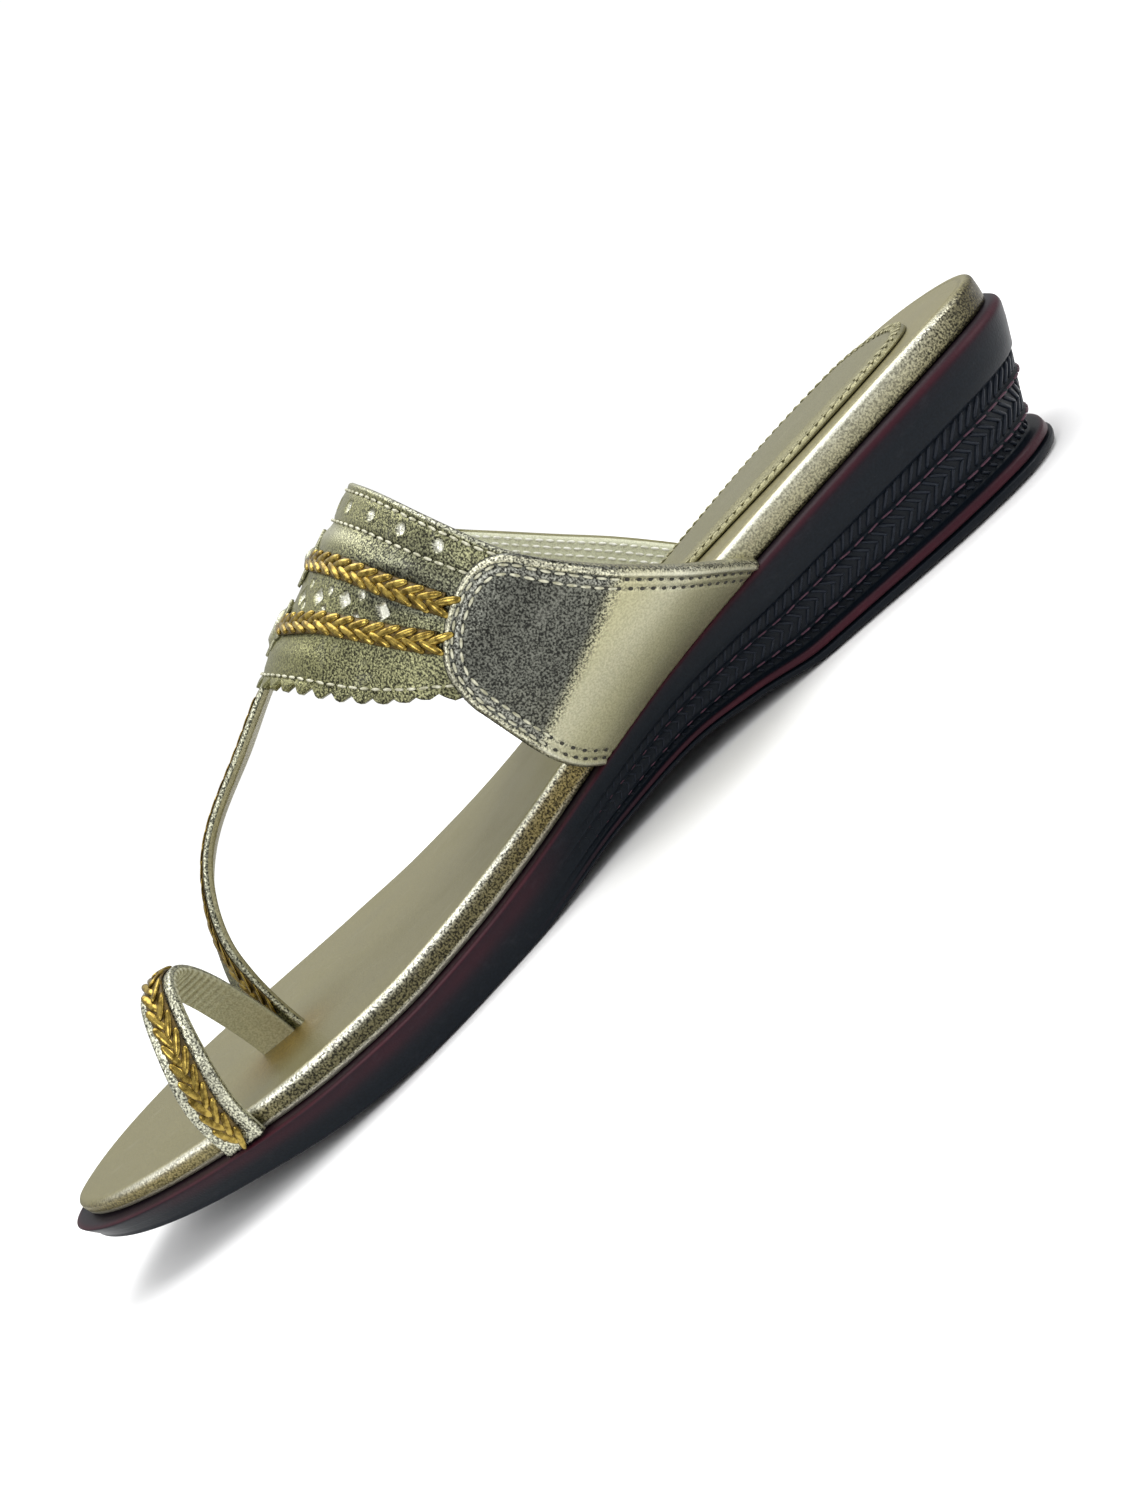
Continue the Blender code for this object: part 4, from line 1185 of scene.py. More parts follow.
@dataclass(frozen=True)
class FoilLeather(Finish):
    """Leather under metal foil.

    The mark "tone" paints shade and dark reflection and strengthens the speckle,
    "glow" paints a highlight towards the highlight colour, and "warm" paints
    the reflection of the gold cord beside it.
    """

    # The colour of the painted gold reflection.
    warm: Colour = (0.31, 0.21, 0.045)
    roughness: float = 0.34
    metallic: float = 0.8
    speckle: float = 0.10
    sparkle: float = 0.85
    grain_scale: float = 2600.0

    def paint(self, g: Graph, effects: Effects) -> tuple[dict, object, float, float]:
        """Works out the foil.

        Args:
            g: The material's graph.
            effects: The shared groups.

        Returns:
            The shader's inputs, and the relief's height, strength and distance.
        """
        grain = g.add("ShaderNodeGroup", {}, node_tree=effects.grain)
        grain.inputs["Scale"].default_value = self.grain_scale
        handling = g.add("ShaderNodeGroup", {}, node_tree=effects.handling).outputs
        # Painted shade and dark reflection, painted highlight and painted gold reflection, as marked on the
        # points.
        tone, glow, warm = (g.mark(name) for name in ("tone", "glow", "warm"))
        patch = g.math("MULTIPLY", g.math("SUBTRACT", handling["Patch"], 0.5), 0.30)
        plain = g.blend(g.math("ADD", tone, patch, clamp=True), self.light, self.dark)
        strength = g.around(g.math("MULTIPLY", tone, 1.5, clamp=True), self.sparkle, self.speckle)
        centred = g.math("MULTIPLY", g.math("SUBTRACT", grain.outputs["Speckle"], 0.5), 2.0)
        factor = g.math("MAXIMUM", g.math("ADD", g.math("MULTIPLY", centred, strength), 1.0), 0.18)
        lit = g.blend(g.math("MULTIPLY", glow, 1.0, clamp=True), plain, HIGHLIGHT)
        warmed = g.blend(g.math("MULTIPLY", warm, 1.0, clamp=True), lit, self.warm)
        scuff = g.math("MULTIPLY", handling["Scuff"], 0.05)
        inputs = {
            "Base Color": g.blend(scuff, g.scaled(warmed, factor), HIGHLIGHT),
            "Roughness": g.around(handling["Patch"], 0.16, self.roughness - 0.08),
            "Metallic": self.metallic,
        }
        return inputs, grain.outputs["Height"], 0.35, 0.00025


@dataclass(frozen=True)
class RubberFinish(Finish):
    """Moulded rubber, with a painted reddish sheen where "red" marks it."""

    roughness: float = 0.42

    def paint(self, g: Graph, effects: Effects) -> tuple[dict, object, float, float]:
        """Works out the rubber.

        Args:
            g: The material's graph.
            effects: The shared groups.

        Returns:
            The shader's inputs, and the relief's height, strength and distance.
        """
        grain = g.add("ShaderNodeGroup", {}, node_tree=effects.grain)
        grain.inputs["Scale"].default_value = 2200.0
        handling = g.add("ShaderNodeGroup", {}, node_tree=effects.handling)
        handling.inputs["Scale"].default_value = 90.0
        patch, scuff = handling.outputs["Patch"], handling.outputs["Scuff"]
        broken = g.math("MULTIPLY", g.mark("red"), g.math("ADD", patch, 0.45), clamp=True)
        lighter = tuple(value * 2.6 for value in self.light)
        body = g.blend(g.math("MULTIPLY", grain.outputs["Speckle"], 0.3), self.light, lighter)
        coloured = g.blend(broken, body, self.dark)
        inputs = {
            "Base Color": g.blend(g.math("MULTIPLY", scuff, 0.05), coloured, (0.07, 0.07, 0.08)),
            "Roughness": g.around(patch, 0.2, self.roughness - 0.1),
            "Specular IOR Level": 0.14,
        }
        return inputs, grain.outputs["Height"], 0.15, 0.0002


@dataclass(frozen=True)
class ThreadFinish(Finish):
    """Twisted thread or metallic cord, mottled darker by a fine noise that also drives its relief."""

    metallic: float = 0.0
    roughness: float = 0.5

    def paint(self, g: Graph, effects: Effects) -> tuple[dict, object, float, float]:
        """Works out the thread.

        Args:
            g: The material's graph.
            effects: The shared groups, which it doesn't need.

        Returns:
            The shader's inputs, and the relief's height, strength and distance.
        """
        cell = {"Vector": g.place(), "Scale": 900.0, "Detail": 3.0}
        noise = g.add("ShaderNodeTexNoise", cell).outputs["Fac"]
        share = g.out("ShaderNodeMapRange", {"Value": noise, "From Min": 0.40, "From Max": 0.62})
        inputs = {
            "Base Color": g.blend(share, self.light, self.dark),
            "Roughness": g.around(noise, 0.2, self.roughness - 0.1),
            "Metallic": self.metallic,
        }
        return inputs, noise, 0.3, 0.0002


FINISHES = {
    "vamp": FoilLeather("vamp foil", (0.228, 0.224, 0.098), (0.066, 0.068, 0.048), sparkle=1.15),
    "panel": FoilLeather("panel foil", (0.43, 0.41, 0.25), (0.072, 0.074, 0.062), speckle=0.05, sparkle=1.15),
    "insole": FoilLeather(
        "insole foil", (0.276, 0.252, 0.132), (0.026, 0.028, 0.018),
        roughness=0.42, speckle=0.08, sparkle=0.95,
    ),
    "pad": FoilLeather(
        "heel pad foil", (0.250, 0.236, 0.134), (0.085, 0.080, 0.036), roughness=0.42, sparkle=0.3
    ),
    "lining": FoilLeather(
        "lining", (0.66, 0.67, 0.50), (0.17, 0.145, 0.055), roughness=0.5, metallic=0.4, sparkle=0.1
    ),
    # Its second colour is the painted reddish sheen.
    "rubber": RubberFinish("black rubber", (0.0026, 0.0044, 0.0070), (0.046, 0.007, 0.013)),
    # Lighter than the body rubber: a painted sheen on the barbs.
    "rib": RubberFinish("rubber relief", (0.0075, 0.0100, 0.0150), (0.10, 0.03, 0.05), 0.34),
    # Reddish dashes that paint the highlights along the side's two lines.
    "line": RubberFinish("rubber line", (0.060, 0.028, 0.040), (0.10, 0.03, 0.05), 0.34),
    "cord": ThreadFinish("gold plait", (0.38, 0.275, 0.062), (0.12, 0.078, 0.013), 0.88, 0.25),
    # Darker than the cord: painted shade between the folds.
    "core": ThreadFinish("plait core", (0.13, 0.082, 0.014), (0.055, 0.036, 0.008), 0.4),
    "thread": ThreadFinish("light thread", (0.62, 0.61, 0.47), (0.34, 0.33, 0.22), 0.2),
    "white thread": ThreadFinish("white thread", (0.90, 0.90, 0.84), (0.66, 0.66, 0.56)),
    "pad thread": ThreadFinish("pad thread", (0.36, 0.34, 0.20), (0.18, 0.17, 0.09), 0.3),
    # Dark forms that paint the shade in the needle holes.
    "dark thread": ThreadFinish("needle holes", (0.030, 0.028, 0.018), (0.012, 0.012, 0.008), 0.0, 0.7),
}


class PathGraph(Graph):
    """A geometry tree that repeats a small form along a path."""

    @classmethod
    def on_path(cls, name: str, inputs: dict[str, object], uneven: float, seed: int) -> "PathGraph":
        """Starts the tree.

        Args:
            name: Its name.
            inputs: Its own inputs, as for a group.
            uneven: How unevenly the forms are turned, in radians.
            seed: The seed of that.

        Returns:
            The graph.
        """
        named = {"Path": "Geometry", "Form": "Object", "Finish": "Material"} | inputs
        named |= {"Unevenness": uneven, "Seed": seed}
        g = cls.group(name, "GeometryNodeTree", named, {"Geometry": "Geometry"})
        g.curve = g.out("GeometryNodeMeshToCurve", {"Mesh": g.start["Path"]})
        g.facing = g.out("GeometryNodeInputNamedAttribute", {"Name": "facing"}, data_type="FLOAT_VECTOR")
        g.tangent = g.out("GeometryNodeInputTangent")
        g.lie = g.out("FunctionNodeAxesToRotation", {"Primary Axis": g.facing, "Secondary Axis": g.tangent})
        g.form = g.add("GeometryNodeObjectInfo", {"Object": g.start["Form"]}).outputs["Geometry"]
        limits = {2: g.math("MULTIPLY", g.start["Unevenness"], -1.0), 3: g.start["Unevenness"]}
        limits["Seed"] = g.start["Seed"]
        g.uneven = g.add("FunctionNodeRandomValue", limits, data_type="FLOAT").outputs[1]
        return g

    def steps(self, length: object) -> bpy.types.NodeSocket:
        """The path in even steps."""
        return self.out("GeometryNodeResampleCurve", {"Curve": self.curve, "Length": length}, mode="LENGTH")

    def sized(self, x: object, y: object, z: object) -> bpy.types.NodeSocket:
        """A vector of three sizes."""
        return self.out("ShaderNodeCombineXYZ", {"X": x, "Y": y, "Z": z})

    def moved(self, points: object, offset: object) -> bpy.types.NodeSocket:
        """Points moved aside."""
        return self.out("GeometryNodeSetPosition", {"Geometry": points, "Offset": offset})

    def repeat(self, points: object, roll: float, angle: object, scale: object) -> bpy.types.NodeSocket:
        """Repeats the form on points, each lying on the surface.

        Args:
            points: The points.
            roll: How far each is rolled about its length.
            angle: How far each is turned, before its unevenness.
            scale: Its sizes.

        Returns:
            The forms as real faces with their finish.
        """
        turned = self.sized(roll, 0.0, self.math("ADD", angle, self.uneven))
        swing = self.out("FunctionNodeEulerToRotation", {"Euler": turned})
        inputs = {"Rotation": self.lie, "Rotate By": swing}
        rotation = self.out("FunctionNodeRotateRotation", inputs, rotation_space="LOCAL")
        inputs = {"Points": points, "Instance": self.form, "Rotation": rotation, "Scale": scale}
        laid = self.out("GeometryNodeInstanceOnPoints", inputs)
        real = self.out("GeometryNodeRealizeInstances", {"Geometry": laid})
        return self.out("GeometryNodeSetMaterial", {"Geometry": real, "Material": self.start["Finish"]})


class Step(NamedTuple):
    """The spacing and the size of what a row repeats, in metres."""

    spacing: float
    length: float
    width: float
    height: float


class Kit:
    """Geometry node trees and the small meshes that they repeat."""

    def __init__(self, bench: Bench) -> None:
        """Builds the finishes, the trees and the small forms."""
        self.bench = bench
        effects = Effects()
        self.finish = {name: finish.build(effects) for name, finish in FINISHES.items()}
        self.row_tree = self.make_row_tree()
        self.plait_tree = self.make_plait_tree()
        self.stitch = self.template("stitch form", 8, 5, 1.0)
        self.barb = self.template("rib form", 6, 5, 0.55)
        self.fold = self.template("plait fold", 10, 7, 0.8)

    @staticmethod
    def template(name: str, around: int, rings: int, squareness: float) -> bpy.types.Object:
        """A small rounded form, one long on each axis, that a tree repeats.

        Args:
            name: Its name.
            around: Points round it.
            rings: Rings of points between its two ends.
            squareness: 1 for an ellipsoid, less for a fuller block.

        Returns:
            The object, which is removed at the end.
        """
        points = [(-0.5, 0.0, 0.0)]
        for k in range(1, rings + 1):
            turn = math.pi * k / (rings + 1)
            reach = math.sin(turn) ** squareness * 0.5
            x = -0.5 * math.copysign(abs(math.cos(turn)) ** squareness, math.cos(turn))
            for i in range(around):
                a = 2 * math.pi * i / around
                points.append((x, reach * math.cos(a), reach * math.sin(a)))
        points.append((0.5, 0.0, 0.0))
        faces = (ring_quads(rings, around) + 1).tolist()
        last = len(points) - 1
        for i in range(around):
            ahead = (i + 1) % around
            faces += [(0, 1 + ahead, 1 + i), (last, last - around + i, last - around + ahead)]
        mesh = bpy.data.meshes.new(name)
        mesh.from_pydata(points, [], [face[::-1] for face in faces])
        mesh.shade_smooth()
        return bpy.data.objects.new(name, mesh)

    @staticmethod
    def make_row_tree() -> bpy.types.NodeTree:
        """A row of small forms at an even spacing along a path.

        Returns:
            The tree.
        """
        sizes = {"Spacing": 0.002, "Length": 0.0015, "Width": 0.0006, "Height": 0.0004, "Turn": 0.0}
        g = PathGraph.on_path("row of small forms", sizes, 0.06, 7)
        size = g.out("GeometryNodeInputNamedAttribute", {"Name": "size"}, data_type="FLOAT")
        scale = g.scaled(g.sized(g.start["Length"], g.start["Width"], g.start["Height"]), size)
        dressed = g.repeat(g.steps(g.start["Spacing"]), 0.0, g.start["Turn"], scale)
        g.add("NodeGroupOutput", {"Geometry": dressed})
        return g.tree

    @staticmethod
    def make_plait_tree() -> bpy.types.NodeTree:
        """Two staggered rows of slanted folds that meet in chevrons over a flat core.

        Returns:
            The tree.
        """
        sizes = {"Core finish": "Material", "Pitch": 0.0032, "Spread": 0.0008, "Lift": 0.00085, "Slant": 0.40}
        sizes |= {"Fold length": 0.0050, "Fold width": 0.0016, "Fold height": 0.0012}
        sizes |= {"Core width": 0.0020, "Core height": 0.00055}
        g = PathGraph.on_path("chevron plait", sizes, 0.07, 11)
        start = g.start
        even = g.steps(start["Pitch"])
        side = g.vector("CROSS_PRODUCT", g.facing, g.tangent)
        shape = g.sized(start["Fold length"], start["Fold width"], start["Fold height"])
        joined = g.add("GeometryNodeJoinGeometry")
        for way in (1.0, -1.0):
            sway = g.scaled(side, g.math("MULTIPLY", start["Spread"], way))
            stagger = g.scaled(g.tangent, g.math("MULTIPLY", start["Pitch"], 0.25 * way))
            rise = g.scaled(g.facing, start["Lift"])
            points = g.moved(even, g.vector("ADD", g.vector("ADD", sway, stagger), rise))
            folds = g.repeat(points, 0.30 * way, g.math("MULTIPLY", start["Slant"], -way), shape)
            g.fill(joined, {0: folds})
        raised = g.moved(g.steps(0.0012), g.scaled(g.facing, g.math("MULTIPLY", start["Core height"], 0.9)))
        upright = g.out("GeometryNodeSetCurveNormal", {"Curve": raised, "Normal": g.facing}, mode="FREE")
        circle = g.out("GeometryNodeCurvePrimitiveCircle", {"Resolution": 12, "Radius": 1.0})
        oval = g.sized(start["Core height"], start["Core width"], 1.0)
        profile = g.out("GeometryNodeTransform", {"Geometry": circle, "Scale": oval})
        swept = {"Curve": upright, "Profile Curve": profile, "Fill Caps": True}
        tube = g.out("GeometryNodeCurveToMesh", swept)
        core = g.out("GeometryNodeSetMaterial", {"Geometry": tube, "Material": start["Core finish"]})
        g.fill(joined, {0: core})
        soft = g.out("GeometryNodeSetShadeSmooth", {"Geometry": joined.outputs[0]})
        g.add("NodeGroupOutput", {"Geometry": soft})
        return g.tree

    def run(
        self,
        name: str,
        tree: bpy.types.NodeTree,
        paths: Sequence,
        values: dict,
        sizes: Optional[Array] = None,
    ) -> bpy.types.Object:
        """Runs a tree along paths and keeps the result as a plain mesh.

        Args:
            name: The finished piece's name.
            tree: The tree.
            paths: Points and facing directions of each path, in the raw frame.
            values: Values for the tree's named inputs.
            sizes: A scale at each point, 1 where not given.

        Returns:
            The finished object, without its modifier.
        """
        points = np.concatenate([path for path, _ in paths]) - self.bench.shift
        ends = np.cumsum([len(path) for path, _ in paths])
        edges = [(i, i + 1) for i in range(len(points) - 1) if i + 1 not in ends]
        guide = bpy.data.meshes.new(f"{name} path")
        guide.from_pydata(points.tolist(), edges, [])
        facing = guide.attributes.new("facing", "FLOAT_VECTOR", "POINT")
        ways = np.concatenate([out for _, out in paths]).astype(np.float32)
        facing.data.foreach_set("vector", ways.ravel())
        size = guide.attributes.new("size", "FLOAT", "POINT")
        size.data.foreach_set("value", (np.ones(len(points)) if sizes is None else sizes).astype(np.float32))
        carrier = linked(bpy.data.objects.new(f"{name} path", guide))
        modifier = carrier.modifiers.new("rule", "NODES")
        modifier.node_group = tree
        for item in tree.interface.items_tree:
            if item.item_type == "SOCKET" and item.in_out == "INPUT" and item.name in values:
                modifier[item.identifier] = values[item.name]
        bpy.context.view_layer.update()
        mesh = bpy.data.meshes.new_from_object(carrier.evaluated_get(bpy.context.evaluated_depsgraph_get()))
        mesh.name = name
        bpy.data.objects.remove(carrier)
        return linked(bpy.data.objects.new(name, mesh))

    def row(
        self, name: str, slot: str, paths: Sequence, step: Step, finish: str, turn: float = 0.0,
        uneven: float = 0.08, form: Optional[bpy.types.Object] = None, sizes: Optional[Array] = None,
    ) -> None:
        """Lays rows of a small form along paths and hands them over as one piece.

        Args:
            name: The piece's name.
            slot: Its material slot.
            paths: Points and facing directions of each path.
            step: The spacing and size of the form.
            finish: The finish's name.
            turn: How far each is turned from the path.
            uneven: How unevenly.
            form: The form, a stitch where not given.
            sizes: A scale at each point, 1 where not given.
        """
        values = {"Form": form or self.stitch, "Finish": self.finish[finish]}
        values |= {"Turn": turn, "Unevenness": uneven}
        values |= {title.capitalize(): size for title, size in step._asdict().items()}
        self.bench.hand_over(self.run(name, self.row_tree, paths, values, sizes), slot)

    def clear(self) -> None:
        """Removes the small forms that the trees repeated."""
        for form in (self.stitch, self.barb, self.fold):
            bpy.data.objects.remove(form)


@dataclass
class Outsole:
    """The rubber wedge with its feathered side, its two lips and its tread."""

    kit: Kit
    form: SoleForm
    stations: int = 240
    tread_depth: float = 0.0006
    tread_margin: float = 0.0095
    barb: Step = Step(0.0021, 0.0068, 0.00085, 0.0011)
    # Dashes along the side's two lines, which paint their reddish highlight.
    line: Step = Step(0.0034, 0.0028, 0.00034, 0.0007)

    def red_mark(self, along: Array, down: float) -> Array:
        """The painted reddish sheen at one level: along the rim, on the lower lip, and in patches by the
        ball.

        Args:
            along: Shares of the sole's length.
            down: The level's share of the side's height.

        Returns:
            The mark, from 0 to 1.
        """
        rim = bump(down, 0.035, 0.03) * (1 - 0.4 * smooth(0.02, 0.0, along))
        strip = smooth(0.835, 0.85, down) * smooth(0.915, 0.90, down) * smooth(0.62, 0.35, along)
        front = bump(down, 0.22, 0.20) * smooth(0.52, 0.60, along) * smooth(0.95, 0.86, along) * 0.8
        return np.clip(rim * 0.70 + strip * 0.75 + front * 0.55, 0, 1)

    def ring(self, plan: Outline, down: float) -> Array:
        """The points of the side at one level."""
        top, bottom = self.form.rubber_top(plan.along), self.form.underside(plan.along)
        return np.column_stack([plan.inset(self.form.side_inset(down, plan)), top + (bottom - top) * down])

    def build(self) -> None:
        """Builds the body and the raised barbs of its side."""
        plan = self.form.outline(self.stations)
        spread = [np.linspace(a.down, b.down, 4)[:-1] for a, b in zip(SIDE, SIDE[1:])]
        levels = [float(down) for down in np.concatenate([*spread, [1.0]])]
        rings = [self.ring(plan, down) for down in levels]
        red = np.concatenate([self.red_mark(plan.along, down) for down in levels])

        def under(points: Array) -> Array:
            """Height of the underside with its tread."""
            return self.form.underside(self.form.along_at(points[:, 1])) + self.tread(points)

        def over(points: Array) -> Array:
            """Height of the rubber's top."""
            return self.form.rubber_top(self.form.along_at(points[:, 1]))

        points, faces, _ = plan.closed(rings, (60, under), (3, over))
        marks = {"red": np.concatenate([red, np.zeros(len(points) - len(red))])}
        body = self.kit.bench.dress("outsole_body", points, faces, [self.kit.finish["rubber"]], marks)
        self.kit.bench.hand_over(body, "outsole_rubber", "outsole")
        self.barbs(plan)

    def tread(self, plan_points: Array) -> Array:
        """Fine zigzag grooves of the underside, away from its edge.

        Args:
            plan_points: Points of the underside in plan.

        Returns:
            How far each is sunk upwards.
        """
        x, y = plan_points[:, 0], plan_points[:, 1]
        wave = np.abs(((x / 0.012) % 1.0) - 0.5) * 0.008
        groove = smooth(0.35, 0.75, np.abs((((y + wave) / 0.0052) % 1.0) - 0.5) * 2)
        along = self.form.along_at(y)
        medial = self.form.edge_x(np.clip(along, 0.02, 0.99), Side.MEDIAL) - self.tread_margin
        lateral = self.form.edge_x(np.clip(along, 0.02, 0.99), Side.LATERAL) + self.tread_margin
        inside = smooth(0, 0.002, medial - x) * smooth(0, 0.002, x - lateral)
        zones = smooth(0.06, 0.08, along) * smooth(0.30, 0.28, along)
        zones = zones + smooth(0.52, 0.54, along) * smooth(0.95, 0.93, along)
        return self.tread_depth * groove * inside * zones

    def barbs(self, plan: Outline) -> None:
        """Lays slanted barbs in rows above and below the two lines of the side.

        Args:
            plan: The outline that they follow.
        """
        height = self.form.rubber_top(plan.along) - self.form.underside(plan.along)
        order = np.concatenate([np.arange(self.stations, len(plan.along)), np.arange(0, self.stations)])
        kept = order[plan.along[order] < 0.56]
        outward = -np.column_stack([plan.inward, np.zeros(len(plan.along))])[kept]
        scale = height[kept] / height.max() * smooth(0.56, 0.46, plan.along[kept]) + 0.02
        rows = ((0.395, 1.0, 0.62), (0.545, -1.0, 0.62), (0.635, 1.0, 0.62), (0.78, -1.0, 0.30))
        # Dashes of painted reddish highlight along the side's two lines.
        rows += ((0.475, 0.0, 1.0), (0.715, 0.0, 1.0))
        for index, (down, way, length) in enumerate(rows):
            path = self.ring(plan, down)[kept]
            climb = (self.ring(plan, down - 0.02) - self.ring(plan, down + 0.02))[kept]
            facing = unit(np.cross(unit(np.gradient(path, axis=0)), climb))
            if (facing * outward).sum() < 0:
                facing = -facing
            step = self.barb._replace(length=self.barb.length * length) if way else self.line
            finish = "rib" if way else "line"
            name = f"outsole_barbs_{index + 1}"
            self.kit.row(
                name, "outsole_rubber", [(path, facing)], step, finish, way * 0.80, 0.10, self.kit.barb, scale
            )


@dataclass
class Insole:
    """The foil covered board, with a pressed line round its top."""

    kit: Kit
    form: SoleForm
    stations: int = 190
    edge_round: float = 0.0014
    line_in: float = 0.0021
    line_depth: float = 0.00022

    def side_tone(self, along: Array) -> tuple[Array, Array, Array]:
        """The light painted on the side band along the shoe.

        Args:
            along: Shares of the sole's length.

        Returns:
            Its painted shade and dark reflection, its painted highlight and its painted gold reflection.
        """
        at = (0.0, 0.05, 0.09, 0.15, 0.33, 0.42, 0.50, 0.60, 0.78, 0.83, 0.90, 1.0)
        dark = (1.00, 0.95, 0.70, 0.25, 0.22, 0.30, 0.75, 0.85, 0.85, 0.40, 0.35, 0.25)
        glow = (0.00, 0.00, 0.10, 0.35, 0.25, 0.15, 0.00, 0.00, 0.00, 0.00, 0.00, 0.05)
        warm = (0.12, 0.10, 0.05, 0.00, 0.00, 0.10, 0.30, 0.10, 0.05, 0.10, 0.25, 0.10)
        return tuple(level_curve(at, values, along) for values in (dark, glow, warm))

    def build(self) -> None:
        """Builds the board."""
        form, plan = self.form, self.form.outline(self.stations)
        margin = form.margin(plan.along)
        top = form.footbed(plan.along)
        under = form.rubber_top(plan.along) + form.gap
        wall = top - under
        dark, glow, warm = self.side_tone(plan.along)
        rings, marks = [], []

        def ring(inset: Array, height: Array, *looks: Array) -> None:
            """Adds one ring with its marks, its height carried to where each point lies."""
            points = plan.inset(inset)
            slope = form.footbed(form.along_at(points[:, 1])) - top
            carried = smooth(0.2, 1.0, (height - under) / wall)
            rings.append(np.column_stack([points, height + slope * carried]))
            marks.append(np.stack([look + 0 * top for look in looks], axis=1))

        # Painted shade on the lower part of the band at the back, and a painted highlight along its lower rim
        # at the front.
        for share in (0.0, 0.12, 0.24, 0.40, 0.56):
            lower_rim = 1.0 - smooth(0.10, 0.22, share)
            front = smooth(0.46, 0.56, plan.along)
            inset = margin + 0.0002 - 0.0002 * math.sin(math.pi * share)
            tone = np.maximum(dark * (1 - lower_rim * front), 0.42 * smooth(0.45, 0.2, share) * (1 - front))
            ring(inset, under + wall * share, tone, glow * share + lower_rim * 0.7 * front, warm)
        # A painted highlight along the rounded top edge.
        bright = 0.95 * smooth(0.05, 0.12, plan.along) * smooth(0.98, 0.90, plan.along)
        for step in np.arange(8) / 7:
            turn = math.pi / 2 * step
            fade = 1 - smooth(0.0, 0.9, step)
            inset = margin + self.edge_round * (1 - math.cos(turn))
            shine = np.maximum(glow * fade, bright * bump(step, 0.42, 0.26))
            ring(inset, top - self.edge_round * (1 - math.sin(turn)), dark * fade, shine, warm * fade)
        # Painted shade in the pressed line's groove.
        for deeper in np.arange(0.0004, 0.0052, 0.0003):
            line = bump(deeper, self.line_in - self.edge_round, 0.0003) * smooth(0.44, 0.34, plan.along)
            ring(margin + self.edge_round + deeper, top - self.line_depth * line, 0.22 * line, 0.0, 0.0)

        def over(points: Array) -> Array:
            """Height of the board's top."""
            along = form.along_at(points[:, 1])
            return form.footbed(along) - self.dish(points, along)

        def below(points: Array) -> Array:
            """Height of the board's underside."""
            return form.rubber_top(form.along_at(points[:, 1])) + form.gap

        points, faces, inner = plan.closed(rings, (44, over), (2, below))
        marks.append(self.top_marks(inner))
        marked = np.concatenate(marks)
        marked = np.concatenate([marked, np.zeros((len(points) - len(marked), 3))])
        named = dict(zip(("tone", "glow", "warm"), marked.T))
        board = self.kit.bench.dress("insole_board", points, faces, [self.kit.finish["insole"]], named)
        self.kit.bench.hand_over(board, "insole_leather", "insole")

    def dish(self, points: Array, along: Array) -> Array:
        """A soft hollow at the ball and under the toe ring, and a few faint wrinkles.

        Args:
            points: Points of the top in plan.
            along: Their shares of the sole's length.

        Returns:
            How deep each lies.
        """
        x, y = points[:, 0], points[:, 1]
        ball = 0.0004 * bump(along, 0.68, 0.10) * bump(x, 0.0, 0.028)
        wrinkle = 0.00012 * np.sin(y / 0.0031 + 3 * np.sin(x / 0.011)) * bump(along, 0.80, 0.05)
        return ball + wrinkle * bump(x, 0.025, 0.012)

    def top_marks(self, points: Array) -> Array:
        """The insole's top: a painted gold reflection and painted shade round the strap's root, and a band of
        painted gold reflection across the waist.

        Args:
            points: Points of the top in plan.

        Returns:
            Rows of painted shade, painted highlight and painted gold reflection.
        """
        x, y = points[:, 0], points[:, 1]
        root = TOE_STRAP[-1]
        root_x, root_y = root.across * self.form.ball_width, float(self.form.y_at(root.along))
        near = np.exp(-(((x - root_x - 0.007) / 0.010) ** 2) - ((y - root_y - 0.001) / 0.0075) ** 2)
        band = 0.35 * bump(self.form.along_at(y), 0.47, 0.03) * smooth(0.005, 0.03, x)
        return np.stack([0.16 * near, 0.0 * near, np.clip(0.95 * near + band, 0, 1)], axis=1)


class PadLevel(NamedTuple):
    """A ring of the heel pad: how far in it is, its share of the wall, and the painted shade on it, darkest
    in the dip inside the stitching.
    """

    inset: float
    height: float
    tone: float


PAD_LEVELS = table(
    PadLevel,
    (0.0, 0.0, 0.0),
    (0.00015, 0.4, 0.0),
    (0.0004, 0.75, 0.0),
    (0.0008, 0.95, 0.0),
    (0.0012, 0.95, 0.1),
    (0.0018, 0.88, 0.15),
    (0.0025, 0.8, 0.25),
    (0.0029, 0.74, 0.45),
    (0.0033, 0.86, 0.2),
    (0.0038, 1.0, 0.0),
    (0.0046, 1.1, 0.0),
)


